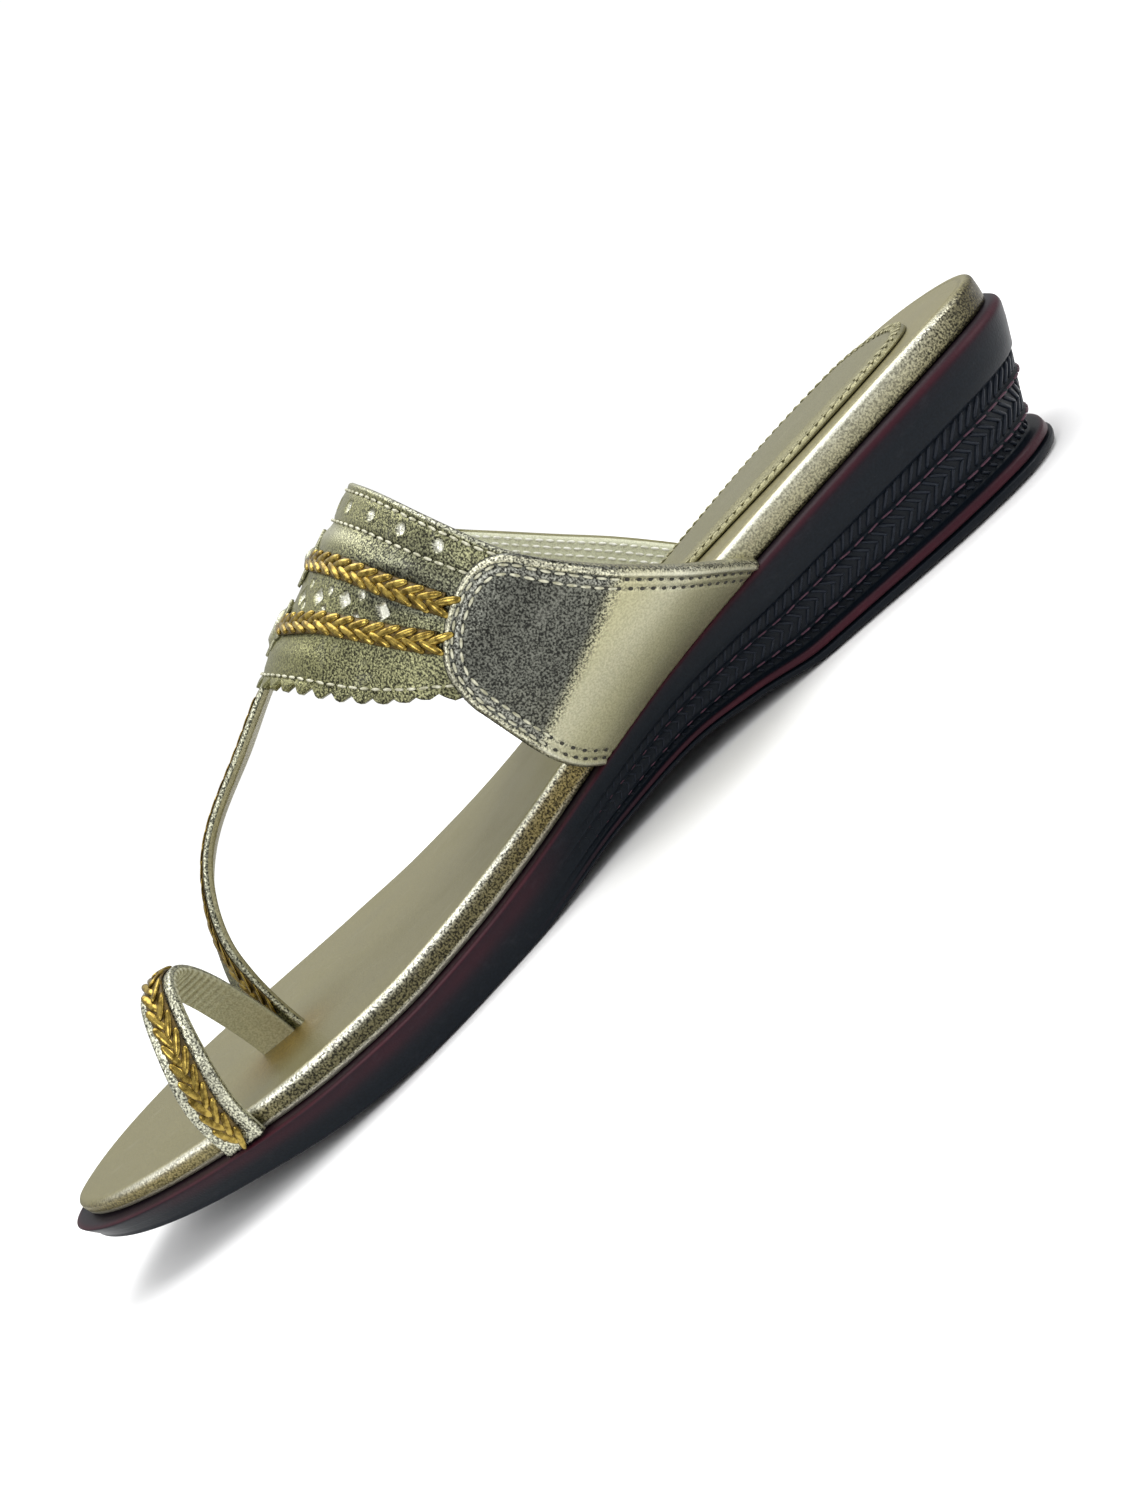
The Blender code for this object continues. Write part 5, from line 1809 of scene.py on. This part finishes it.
@dataclass
class HeelPad:
    """The thin sock under the heel, with a stitched border of small chevrons."""

    kit: Kit
    form: SoleForm
    width: float = 0.041
    wall: float = 0.0011
    stations: int = 110
    stitch: Step = Step(0.00215, 0.0019, 0.00075, 0.0005)

    def outline(self) -> Outline:
        """The pad's teardrop outline.

        Returns:
            The outline.
        """
        start, end = PAD[0].along, PAD[-1].along
        share = (1 - np.cos(np.linspace(0, math.pi, self.stations))) / 2
        turns = half_turn((column(PAD, "along") - start) / (end - start))
        sides = [
            self.width * natural_spline(turns, column(PAD, name), half_turn(share))
            for name in ("medial", "lateral")
        ]
        return Outline.of(start + (end - start) * share, *sides, self.form.length)

    def seat(self, points: Array) -> Array:
        """Height of the insole under points in plan."""
        return self.form.footbed(self.form.along_at(points[:, 1])) + self.form.gap

    def build(self) -> None:
        """Builds the pad and its stitching."""
        plan = self.outline()
        rings, painted_shades = [], []
        for level in PAD_LEVELS:
            ring = plan.inset(level.inset)
            rings.append(np.column_stack([ring, self.seat(ring) + self.wall * level.height]))
            painted_shades.append(np.full(len(ring), level.tone))

        def over(points: Array) -> Array:
            """Height of the pad's crowned top."""
            crown = 0.0004 * bump(self.form.along_at(points[:, 1]), 0.22, 0.10)
            return self.seat(points) + self.wall * 1.1 + crown

        points, faces, inner = plan.closed(rings, (24, over), (2, self.seat))
        tone = np.concatenate([*painted_shades, np.full(len(inner), 0.12)])
        marks = {"tone": np.concatenate([tone, np.zeros(len(points) - len(tone))])}
        pad = self.kit.bench.dress("heel_pad_sock", points, faces, [self.kit.finish["pad"]], marks)
        self.kit.bench.hand_over(pad, "heel_pad_leather", "heel_pad")
        for index, (inset, turn) in enumerate(((0.0010, 0.75), (0.0022, -0.75))):
            ring = plan.inset(inset)
            ring = np.concatenate([ring, ring[:1]])
            path = np.column_stack([ring, self.seat(ring) + self.wall * 0.98])
            facing = np.tile([0.0, 0.0, 1.0], (len(path), 1))
            name = f"heel_pad_stitches_{index + 1}"
            self.kit.row(name, "heel_pad_leather", [(path, facing)], self.stitch, "pad thread", turn, 0.06)


@dataclass
class Upper:
    """The vamp with its punched holes and pinked edge, the two side panels, and the lining."""

    kit: Kit
    band: BandForm
    leather: float = 0.0013
    hole_depth: float = 0.0007
    dot_pitch: float = 0.0083
    seam_rows: tuple[float, float] = (0.0018, 0.0034)
    stitch: Step = Step(0.0023, 0.0018, 0.00055, 0.00048)
    needle_hole: Step = Step(0.0023, 0.0010, 0.0007, 0.0003)
    bold_stitch: Step = Step(0.0023, 0.0019, 0.0007, 0.0005)

    def teeth(self) -> Array:
        """The pinked edge.

        Returns:
            Shares across the vamp's front edge at which its teeth have their tips and valleys.
        """
        share = np.linspace(0, 1, 400)
        nose = self.band.nose(1.0)
        across = nose + share * (2 - 2 * nose)
        run = run_lengths(self.band.place(across, np.ones_like(across)))
        count = max(4, 2 * round(run[-1] / self.band.pink_pitch / 2))
        return np.interp(np.linspace(0, run[-1], 2 * count + 1), run, share)

    def holes(self) -> list[Punch]:
        """Every hole of the vamp, across both halves."""
        found = [Punch(across, *hole[1:]) for hole in HOLES for across in (hole.across, 2 - hole.across)]
        step = self.dot_pitch / self.band.girth(0.105)
        return found + [Punch(1 + step * (k + 0.5), 0.105, 0.0021, False) for k in range(-5, 5)]

    def creases(self, across: Array, down: Array) -> Array:
        """Soft troughs and ridges of the worn vamp.

        Args:
            across: Shares across the band.
            down: Shares from back to front.

        Returns:
            How far each point stands out, in metres.
        """
        ridge = 0.00030 * bump(down, 0.28, 0.05) - 0.00022 * bump(down, 0.20, 0.03)
        ridge = ridge + 0.00025 * bump(down, 0.82, 0.05) - 0.00020 * bump(down, 0.93, 0.02)
        lift = ridge * bump(across, 1.0, 0.34)
        for way in (-1, 1):
            slant = bump(down + way * 0.35 * (across - 1 - way * 0.28), 0.30, 0.035)
            lift = lift + 0.00028 * slant * bump(across, 1 + way * 0.32, 0.10)
        return 1.5 * lift

    def leather_wall(
        self,
        name: str,
        finish: str,
        face: tuple[Array, Array],
        lift: Array,
        depth: float,
        tone: Array,
        glow: Array,
        back_tone: float = 0.0,
    ) -> None:
        """Makes one leather of the upper and hands it over.

        Args:
            name: The piece's name.
            finish: The finish's name.
            face: Points of the band's face and their normals.
            lift: How far the leather's outside stands out from them.
            depth: How far its inside lies under them.
            tone: The painted shade and dark reflection on its outside.
            glow: The painted highlight on its outside.
            back_tone: The painted shade on its inside.
        """
        point, normal = face
        points, faces = wall_mesh(point + normal * np.asarray(lift)[..., None], point - normal * depth)
        flat = np.zeros(point.shape[:2])
        marks = {
            "tone": np.concatenate([(tone + flat).ravel(), (flat + back_tone).ravel()]),
            "glow": np.concatenate([np.clip(glow + flat, 0, 1).ravel(), flat.ravel()]),
        }
        piece = self.kit.bench.dress(name, points, faces, [self.kit.finish[finish]], marks)
        self.kit.bench.hand_over(piece, "upper_leather", "upper")

    def vamp(self) -> None:
        """Builds the vamp's leather with its holes sunk into it."""
        band = self.band
        marks = self.teeth()
        parts = 7
        share = np.concatenate([np.linspace(a, b, parts, endpoint=False) for a, b in zip(marks, marks[1:])])
        share = np.concatenate([[-0.035, -0.018], share, [1.0, 1.018, 1.035]])
        tooth = np.abs(((np.arange(len(share) - 4) / parts + 1) % 2) - 1)
        notch = np.concatenate([[0.0, 0.0], tooth, [0.0, 0.0]])
        ends = ((0, 0.02, 4), (0.02, 0.93, 96))
        rows = np.concatenate([*(np.linspace(*end)[:-1] for end in ends), np.linspace(0.93, 1, 11)])
        down = np.tile(rows, (len(share), 1))
        nose = band.nose(rows)
        across = nose + share[:, None] * (2 - 2 * nose)
        length = np.linalg.norm(band.place(across[:, -1], 1.0) - band.place(across[:, 0], 0.0), axis=1)
        down = down - (notch * band.pink_depth / length)[:, None] * smooth(0.93, 1.0, down)
        point, normal, _, _ = band.frame(across, down)
        edge = np.minimum(down, 1) * length[:, None]
        lift = self.creases(across, down) - 0.0005 * np.clip(1 - edge / 0.0005, 0, 1) ** 2
        hole_mark = np.zeros(lift.shape)
        for hole in self.holes():
            centre, _, right, front = band.frame(np.array(hole.across), np.array(hole.down))
            away = point - centre
            a, b = np.abs((away * right).sum(axis=-1)), np.abs((away * front).sum(axis=-1))
            reach = a + b if hole.diamond else np.hypot(a, b)
            near = np.linalg.norm(away, axis=-1) <= 0.004
            inside = near * smooth(hole.size / 2 + 0.00012, hole.size / 2 - 0.00016, reach)
            rim = 0.00012 * near * bump(reach, hole.size / 2 + 0.0003, 0.00025)
            lift = lift - self.hole_depth * inside + rim
            hole_mark = np.maximum(hole_mark, inside)
        for row in (0.04, 0.185):
            lift = lift - 0.00018 * bump(down, row, 0.010)
        # Painted dark reflection, heavier towards the side panels and lighter on the lateral half; painted
        # shade along both sides of the back cord; painted highlights by the crown and along the pinked edge;
        # the hole floors lightened to the highlight colour; painted shade on the inside.
        middle = 0.55 + 0.45 * bump(down, 0.33, 0.20)
        dark = 0.85 * smooth(0.92, 0.66, np.minimum(across, 2 - across)) * middle
        dark = np.where(across > 1, dark * 0.6, dark) + 0.12
        cord_side_shade = bump(down, 0.325, 0.018) + bump(down, 0.455, 0.018)
        tone = dark + 0.15 * cord_side_shade - 0.30 * bump(down, 0.26, 0.05) * bump(across, 1.0, 0.2)
        glow = 0.95 * hole_mark + 0.30 * bump(down, 0.24, 0.05) * bump(across, 1.0, 0.18)
        glow = glow + 0.25 * smooth(0.0, 0.5, 1 - edge / 0.0007)
        tone = np.where(hole_mark > 0.3, 0, tone)
        self.leather_wall("vamp_leather", "vamp", (point, normal), lift, self.leather, tone, glow, 0.3)

    def panel(self, side: Side) -> None:
        """Builds one side panel, raised on the vamp with a rolled edge.

        Args:
            side: Its side.
        """
        rows = (1 - np.cos(np.linspace(0, math.pi, 78))) / 2
        share = np.concatenate([np.linspace(0, 0.85, 70)[:-1], np.linspace(0.85, 1, 34)])
        half = share[:, None] * self.band.nose(rows)
        down = np.tile(rows, (len(share), 1))
        point, normal, _, _ = self.band.frame(side.across(half), down)
        outline = self.band.panel_outline(240)
        edge = self.band.place(side.across(outline[:, 0]), outline[:, 1])
        away = np.min([np.linalg.norm(point - place, axis=-1) for place in edge[::2]], axis=0)
        seams = [bump(away, row, 0.0003) for row in self.seam_rows]
        roll = np.clip(away / 0.0009, 0, 1)
        lift = self.band.panel_step * np.sqrt(1 - (1 - roll) ** 2) + 0.00022 * bump(away, 0.0009, 0.0005)
        lift = lift - 0.00022 * seams[0] - 0.00020 * seams[1]
        lift = lift + 0.00030 * bump(half, 0.30, 0.14) * bump(down, 0.45, 0.22)
        # Painted dark reflection over the front of the panel, weaker on the lateral panel; painted shade at
        # the free edge and in the seams; painted highlights on the rolled edge, between the seams on the dark
        # part and in a streak on the light part.
        line = self.band.speckle_end(down)
        dark = smooth(line - 0.022, line + 0.022, half)
        tone = np.where(away > 0.0013, 0.96 * dark, 0.40 * dark) + 0.05
        if side is Side.LATERAL:
            tone = tone * 0.55
        glow = 0.30 * bump(away, 0.0008, 0.0004) + 0.16 * bump(away, 0.0026, 0.0004) * dark
        glow = glow + 0.20 * bump(half, 0.20, 0.05) * (1 - dark)
        tone = np.clip(tone + 0.75 * smooth(0.0006, 0.0, away) + 0.35 * (seams[0] + seams[1]), 0, 1)
        name = f"side_panel_{side.name.lower()}"
        self.leather_wall(name, "panel", (point, normal), lift, self.leather, tone, glow)

    def lining(self) -> None:
        """Builds the lining under the whole band."""
        across = np.linspace(0.0, 2.0, 150)
        inset = 0.0006 / np.array([self.band.drop(float(a)) for a in across])
        front = np.where(np.minimum(across, 2 - across) < 0.44, inset, 5.5 * inset)
        down = inset[:, None] + np.linspace(0, 1, 34)[None, :] * (1 - inset - front)[:, None]
        face = self.band.frame(np.broadcast_to(across[:, None], down.shape), down)[:2]
        self.leather_wall("upper_lining", "lining", face, 0.0001 - self.leather, self.band.wall, 0.0, 0.0)

    def path(self, across: Array, down: Array, lift: float) -> tuple[Array, Array]:
        """The points and normals of a path over the outer face."""
        point, normal, _, _ = self.band.frame(across, down)
        return point + normal * lift, normal

    def stitching(self) -> None:
        """Lays every row of stitches of the upper."""
        vamp_rows = []
        for start, middle in ((0.04, 0.04), (0.185, 0.185), (0.900, 0.935)):
            low = float(self.band.nose(start)) + 0.006
            across = np.linspace(low, 2 - low, 160)
            vamp_rows.append(self.path(across, start + (middle - start) * bump(across, 1.0, 0.35), 0.00005))
        self.kit.row("vamp_stitches", "upper_leather", vamp_rows, self.stitch, "thread")
        outline = self.band.panel_outline(90)
        raised = self.band.panel_step - 0.00008
        inside = []
        for side in Side:
            dashes, holes = [], []
            for distance in self.seam_rows:
                half, down = self.band.moved(outline, distance).T
                nose = half > self.band.speckle_end(down)
                upper = (down > 0.0) & (down < 0.5) & (half <= 0.325)
                lower = (down < 1.0) & (down >= 0.5) & (half <= 0.21)
                for part, kept in ((nose, dashes), (upper, holes), (lower, holes)):
                    part = part & (half > 0.01)
                    kept.append(self.path(side.across(half[part]), down[part], raised))
            name = side.name.lower()
            self.kit.row(f"panel_stitches_{name}", "upper_leather", dashes, self.stitch, "thread")
            self.kit.row(f"panel_holes_{name}", "upper_leather", holes, self.needle_hole, "dark thread")
        for side in Side:
            for down in (0.045, 0.085, 0.125):
                across = side.across(np.linspace(0.05, 0.50, 60))
                point, normal = self.path(across, np.full(60, down), -self.band.wall - 0.00003)
                inside.append((point, -normal))
        self.kit.row("lining_stitches", "upper_leather", inside, self.bold_stitch, "white thread")

    def build(self) -> None:
        """Builds every layer of the upper."""
        self.vamp()
        for side in Side:
            self.panel(side)
        self.lining()
        self.stitching()


class SectionRow(NamedTuple):
    """A point of a strap's section: shares of its half width, from the edge in, and of its wall."""

    over: float
    up: float


STRAP_SECTION = table(
    SectionRow,
    *((-0.5, -0.5), (-0.498, -0.25), (-0.488, -0.08), (-0.465, 0.0), (-0.42, 0.03)),
    *((-0.30, 0.0), (-0.15, 0.0), (0.0, 0.0), (0.15, 0.0), (0.30, 0.0)),
    *((0.42, 0.03), (0.465, 0.0), (0.488, -0.08), (0.498, -0.25), (0.5, -0.5)),
    *((0.498, -0.78), (0.475, -0.95), (0.42, -1.0), (0.25, -1.0), (0.0, -1.0)),
    *((-0.25, -1.0), (-0.42, -1.0), (-0.475, -0.95), (-0.498, -0.78)),
)


@dataclass
class FlatStrap:
    """A strap of two leathers back to back: foil outside, soft lining inside."""

    kit: Kit
    form: StrapForm
    name: str
    samples: int = 160
    wrinkle: float = 0.0
    wrinkle_pitch: float = 0.00026
    lining_starts: int = 14
    # Painted shade over the lining face, and a painted highlight over the outer face.
    tint: float = 0.0
    shine: float = 0.0

    def build(self) -> None:
        """Builds the strap."""
        run = np.linspace(0, self.form.length, self.samples)
        point, normal, side = self.form.frame(run)
        width = self.form.width_at(run)
        pucker = np.sin(run / self.wrinkle_pitch) * bump(run / self.form.length, 0.50, 0.17)
        rings, painted_shades, glows = [], [], []
        for over, up in STRAP_SECTION:
            lift = self.form.wall * up + (up < -0.9) * self.wrinkle * pucker
            rings.append(point + side * (width * over)[:, None] + normal * lift[:, None])
            # The outer face carries painted dark reflection and painted highlights on its edges; the lining
            # carries painted shade, and painted shade and highlight along its puckers.
            outer = 1.0 if up > -0.3 else 0.0
            rim = 1.0 if abs(over) > 0.44 else 0.0
            fold = 0.35 * np.sign(self.wrinkle) * pucker
            painted_shades.append(np.clip(outer * 0.45 + (1 - outer) * (self.tint + fold), 0, 1))
            glows.append(np.full(len(run), outer * max(self.shine, 0.30 * rim)))
        size = len(STRAP_SECTION)
        points = np.stack(rings, axis=1)
        named = {"tone": np.stack(painted_shades, axis=1).ravel(), "glow": np.stack(glows, axis=1).ravel()}
        finishes = [self.kit.finish["vamp"], self.kit.finish["lining"]]
        piece = self.kit.bench.dress(self.name, points.reshape(-1, 3), ring_body(points), finishes, named)
        faces = np.arange(len(piece.data.polygons))
        inner = (faces % size >= self.lining_starts) & (faces < (self.samples - 1) * size)
        piece.data.polygons.foreach_set("material_index", inner.astype(np.int32))
        self.kit.bench.hand_over(piece, "upper_leather", "upper")


@dataclass
class Plaits:
    """The six plaited cords."""

    kit: Kit
    band: BandForm
    strap: StrapForm
    ring: StrapForm
    medallion_reach: float = 0.0062
    strap_end: float = 0.88
    ring_ends: tuple[float, float] = (0.20, 0.96)
    sizes: tuple = (("Lift", 0.00085), ("Fold height", 0.0012), ("Core height", 0.00055))

    def lay(self, name: str, path: Array, facing: Array, flat: float = 1.0) -> None:
        """Plaits one cord along a path.

        Args:
            name: The cord's place on the shoe.
            path: The path's points.
            facing: Which way the cord faces at each.
            flat: The cord's thickness, as a share of a full one's.
        """
        finish = self.kit.finish
        values = {"Form": self.kit.fold, "Finish": finish["cord"], "Core finish": finish["core"]}
        values |= {title: size * flat for title, size in self.sizes}
        piece = self.kit.run(f"plait_{name}", self.kit.plait_tree, [(path, facing)], values)
        self.kit.bench.hand_over(piece, "plaited_cord", f"braid_{name}")

    def build(self) -> None:
        """Lays the cords on the vamp, the strap and the ring."""
        for cord in Cord:
            places = column(LAID, cord.value)
            clear = self.medallion_reach / self.band.girth(float(places[-1]))
            half = np.linspace(float(self.band.nose(places[0])) + 0.010, 1.0 - clear, 90)
            down = level_curve(column(LAID, "across"), places, half)
            for side in Side:
                point, normal, _, _ = self.band.frame(side.across(half), down)
                self.lay(f"{cord.value}_{side.name.lower()}", point, normal)
        run = np.linspace(self.strap.keys[1] + self.band.pink_depth, self.strap_end * self.strap.length, 140)
        point, normal, side = self.strap.frame(run)
        aside = 0.0004 + 0.0020 * smooth(0.62, 0.86, run / self.strap.length)
        self.lay("toe_strap", point + side * aside[:, None], normal, 0.4)
        start, end = self.ring_ends
        point, normal, _ = self.ring.frame(np.linspace(start * self.ring.length, end * self.ring.length, 140))
        self.lay("toe_ring", point, normal, 0.7)


@dataclass
class Medallion:
    """A scalloped leather piece on the crown with a raised loop or slit at its middle."""

    kit: Kit
    band: BandForm
    down: float
    slit: bool
    width: float = 0.0103
    length: float = 0.0106
    wall: float = 0.0006
    lobe: float = 0.0007
    lobes: int = 11

    def relief(self, x: Array, y: Array) -> Array:
        """The face over its wall.

        Args:
            x: Places across it, in metres.
            y: Places along it.

        Returns:
            The height at each, in metres.
        """
        if self.slit:
            strip = 0.0009 * bump(x, 0.0, 0.0011) * bump(y, 0.0, 0.0018)
            cuts = bump(y, 0.0030, 0.0007) + bump(y, -0.0030, 0.0007)
            return strip - 0.0010 * cuts * bump(x, 0.0, 0.0008)
        radius = np.hypot(x / 0.0013, y / 0.0027)
        return 0.0008 * bump(radius, 1.0, 0.33) - 0.0006 * bump(radius, 0.0, 0.55)

    def build(self) -> None:
        """Builds the medallion."""
        turns = np.linspace(0, 2 * math.pi, 10 * self.lobes, endpoint=False)
        scallop = self.lobe * np.cos(self.lobes * turns)
        per_across, per_down = self.band.girth(self.down), self.band.drop(1.0)
        rings, glows, painted_shades = [], [], []
        levels = [(1.0, 0.0), (1.0, 0.6), (0.985, 0.9), (0.96, 1.0)]
        levels += [(share, 1.0) for share in np.linspace(0.92, 0.04, 22)]
        for share, up in levels:
            fade = smooth(0.7, 1.0, share)
            x = (self.width / 2 + scallop * fade) * share * np.cos(turns)
            y = (self.length / 2 + scallop * fade) * share * np.sin(turns)
            point, normal, _, _ = self.band.frame(1 + x / per_across, self.down + y / per_down)
            relief = self.relief(x, y)
            lift = 0.0002 + self.wall * up * (1 + 0.15 * (1 - share)) + (up >= 1) * relief
            rings.append(point + normal * lift[:, None])
            # Painted highlight on the raised relief and round its wall, painted shade in the sunken relief.
            glows.append(np.clip(relief / 0.0008, 0, 1) * 0.6 + 0.25 * (up < 1))
            painted_shades.append(np.clip(-relief / 0.0008, 0, 1) * 0.8 + 0.10)
        named = {"glow": np.concatenate(glows), "tone": np.concatenate(painted_shades)}
        kind = "back" if self.slit else "front"
        name, finish = f"medallion_{kind}_leather", self.kit.finish["vamp"]
        piece = self.kit.bench.dress(name, np.concatenate(rings), ring_body(rings), [finish], named)
        self.kit.bench.hand_over(piece, "medallion_leather", f"medallion_{kind}")


@dataclass(frozen=True)
class ShoeCamera:
    """The camera at the photograph's angle to the shoe, close and rolled, in pixels of its frame."""

    forward: tuple[float, float, float] = (-0.97160, -0.02421, -0.23537)
    right: tuple[float, float, float] = (0.14066, 0.74078, -0.65686)
    distance: float = 0.2538
    focal: float = 807.0
    centre: tuple[float, float] = (32.2, 38.1)
    enlarge: float = 1.52
    frame_size: tuple[int, int] = (1130, 1500)
    sensor: float = 36.0

    def build(self, shift: Array) -> None:
        """Builds the camera and makes it the scene's.

        Args:
            shift: How far the raw frame stands off.
        """
        forward = unit(np.array(self.forward))
        right = unit(np.array(self.right))
        right = unit(right - forward * (right @ forward))
        data = bpy.data.cameras.new("shoe camera")
        data.sensor_fit = "VERTICAL"
        data.sensor_height = self.sensor
        height = self.frame_size[1]
        data.lens = self.focal * self.enlarge / height * self.sensor
        data.shift_x = -self.centre[0] * self.enlarge / height
        data.shift_y = self.centre[1] * self.enlarge / height
        data.clip_start = 0.01
        data.clip_end = 20.0
        made = bpy.data.objects.new("shoe camera", data)
        place = -self.distance * forward - shift
        bpy.context.scene.camera = stand(made, place, right, -np.cross(forward, right))


@dataclass
class Studio:
    """A pale floor that fades into a white surround, and soft lights."""

    floor_reach: float = 0.9
    floor_sides: int = 48
    sky: float = 0.9
    aim: tuple[float, float, float] = (0.0, 0.0, 0.03)

    def floor(self) -> None:
        """Builds the floor, which melts into the surround at its rim."""
        turns = np.linspace(0, 2 * math.pi, self.floor_sides, endpoint=False)
        circle = np.column_stack([np.cos(turns), np.sin(turns)])
        radii = (0.02, 0.3, 0.6, self.floor_reach)
        points = np.concatenate([np.column_stack([circle * radius, 0 * turns - 0.0002]) for radius in radii])
        faces = [*ring_quads(len(radii), self.floor_sides).tolist(), tuple(range(self.floor_sides))]
        mesh = bpy.data.meshes.new("floor")
        mesh.from_pydata(points.tolist(), [], faces)
        finish = bpy.data.materials.new("pale floor")
        finish.use_nodes = True
        g = Graph(finish.node_tree)
        place = g.place()
        away = g.add("ShaderNodeVectorMath", {0: place}, operation="LENGTH").outputs["Value"]
        limits = {"Value": away, "From Min": 0.25, "From Max": self.floor_reach - 0.05}
        fade = g.out("ShaderNodeMapRange", limits)
        noise = g.add("ShaderNodeTexNoise", {"Vector": place, "Scale": 900.0, "Detail": 2.0})
        inputs = {
            "Alpha": g.math("SUBTRACT", 1.0, fade),
            "Base Color": g.blend(noise.outputs["Fac"], (0.93, 0.93, 0.93), (0.95, 0.95, 0.95)),
            "Roughness": 0.9,
            "Specular IOR Level": 0.1,
        }
        g.fill(finish.node_tree.nodes["Principled BSDF"], inputs)
        mesh.materials.append(finish)
        linked(bpy.data.objects.new("floor", mesh))

    def lamp(self, name: str, place: tuple, size: tuple, power: float) -> None:
        """Adds a soft light that looks at the shoe.

        Args:
            name: Its name.
            place: Where it stands.
            size: Its width and height.
            power: Its power in watts.
        """
        data = bpy.data.lights.new(name, "AREA")
        data.shape = "RECTANGLE"
        data.size, data.size_y = size
        data.energy = power
        back = unit(np.array(place) - np.array(self.aim))
        right = unit(np.cross([0.0, 0.0, 1.0], back))
        stand(bpy.data.objects.new(name, data), place, right, np.cross(back, right))

    def surround(self) -> None:
        """A white surround to look at, and a softer one, darker near the horizon, to be lit by."""
        world = bpy.data.worlds.new("studio")
        world.use_nodes = True
        bpy.context.scene.world = world
        world.node_tree.nodes.clear()
        g = Graph(world.node_tree)
        direction = g.add("ShaderNodeTexCoord").outputs["Generated"]
        height = g.add("ShaderNodeSeparateXYZ", {0: direction}).outputs["Z"]
        rise = g.out("ShaderNodeMapRange", {"Value": height, "From Min": 0.0, "From Max": 0.75})
        sky = g.blend(rise, (0.42, 0.42, 0.43), (1.0, 1.0, 1.0))
        glow = g.out("ShaderNodeBackground", {"Color": sky, "Strength": self.sky})
        white = g.out("ShaderNodeBackground", {"Color": (1.0, 1.0, 1.0, 1), "Strength": 1.05})
        seen = g.add("ShaderNodeLightPath").outputs["Is Camera Ray"]
        mixed = g.out("ShaderNodeMixShader", {0: seen, 1: glow, 2: white})
        g.add("ShaderNodeOutputWorld", {"Surface": mixed})

    def build(self) -> None:
        """Builds the floor, the surround and the lights."""
        bpy.context.scene.view_settings.view_transform = "Standard"
        self.floor()
        self.surround()
        self.lamp("top light", (-0.15, 0.10, 0.9), (0.8, 0.8), 7.0)
        self.lamp("front light", (0.75, -0.45, 0.55), (0.35, 0.5), 3.0)
        self.lamp("back light", (0.35, 0.85, 0.45), (0.3, 0.4), 2.5)


@dataclass
class Sandal:
    """The whole sandal."""

    sole: SoleForm = field(default_factory=SoleForm)

    def shift(self) -> Array:
        """How far the solids were moved from the raw frame, read from the outsole's own box.

        Returns:
            The shift.
        """
        plan = self.sole.outline(34)
        rows = np.concatenate([plan.inset(self.sole.side_inset(row.down, plan)) for row in SIDE])
        low, high = (np.array(corner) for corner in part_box("outsole"))
        middle = (rows.min(axis=0) + rows.max(axis=0)) / 2 - (low[:2] + high[:2]) / 2
        return np.array([middle[0], middle[1], 0.0])

    def build(self) -> None:
        """Builds every piece."""
        shift = self.shift()
        LOG.info("raw frame stands off by %s mm", np.round(shift * 1000, 2))
        ShoeCamera().build(shift)
        Studio().build()
        kit = Kit(Bench(shift))
        band = BandForm(self.sole)
        straps = StrapMaker(self.sole, band)
        strap, ring = straps.strap(), straps.ring()
        pieces = (
            Outsole(kit, self.sole),
            Insole(kit, self.sole),
            HeelPad(kit, self.sole),
            Upper(kit, band),
            FlatStrap(kit, strap, "toe_strap_leather", tint=0.85),
            FlatStrap(kit, ring, "toe_ring_leather", wrinkle=0.00026, tint=0.55, shine=0.36),
            Plaits(kit, band, strap, ring),
            Medallion(kit, band, 0.375, True),
            Medallion(kit, band, 0.715, False),
        )
        for piece in pieces:
            piece.build()
        kit.clear()
        LOG.info("%d pieces handed over", kit.bench.handed)


def main() -> None:
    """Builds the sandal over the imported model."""
    logging.basicConfig(level=logging.INFO, format="%(message)s")
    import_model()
    Sandal().build()


if __name__ == "__main__":
    main()
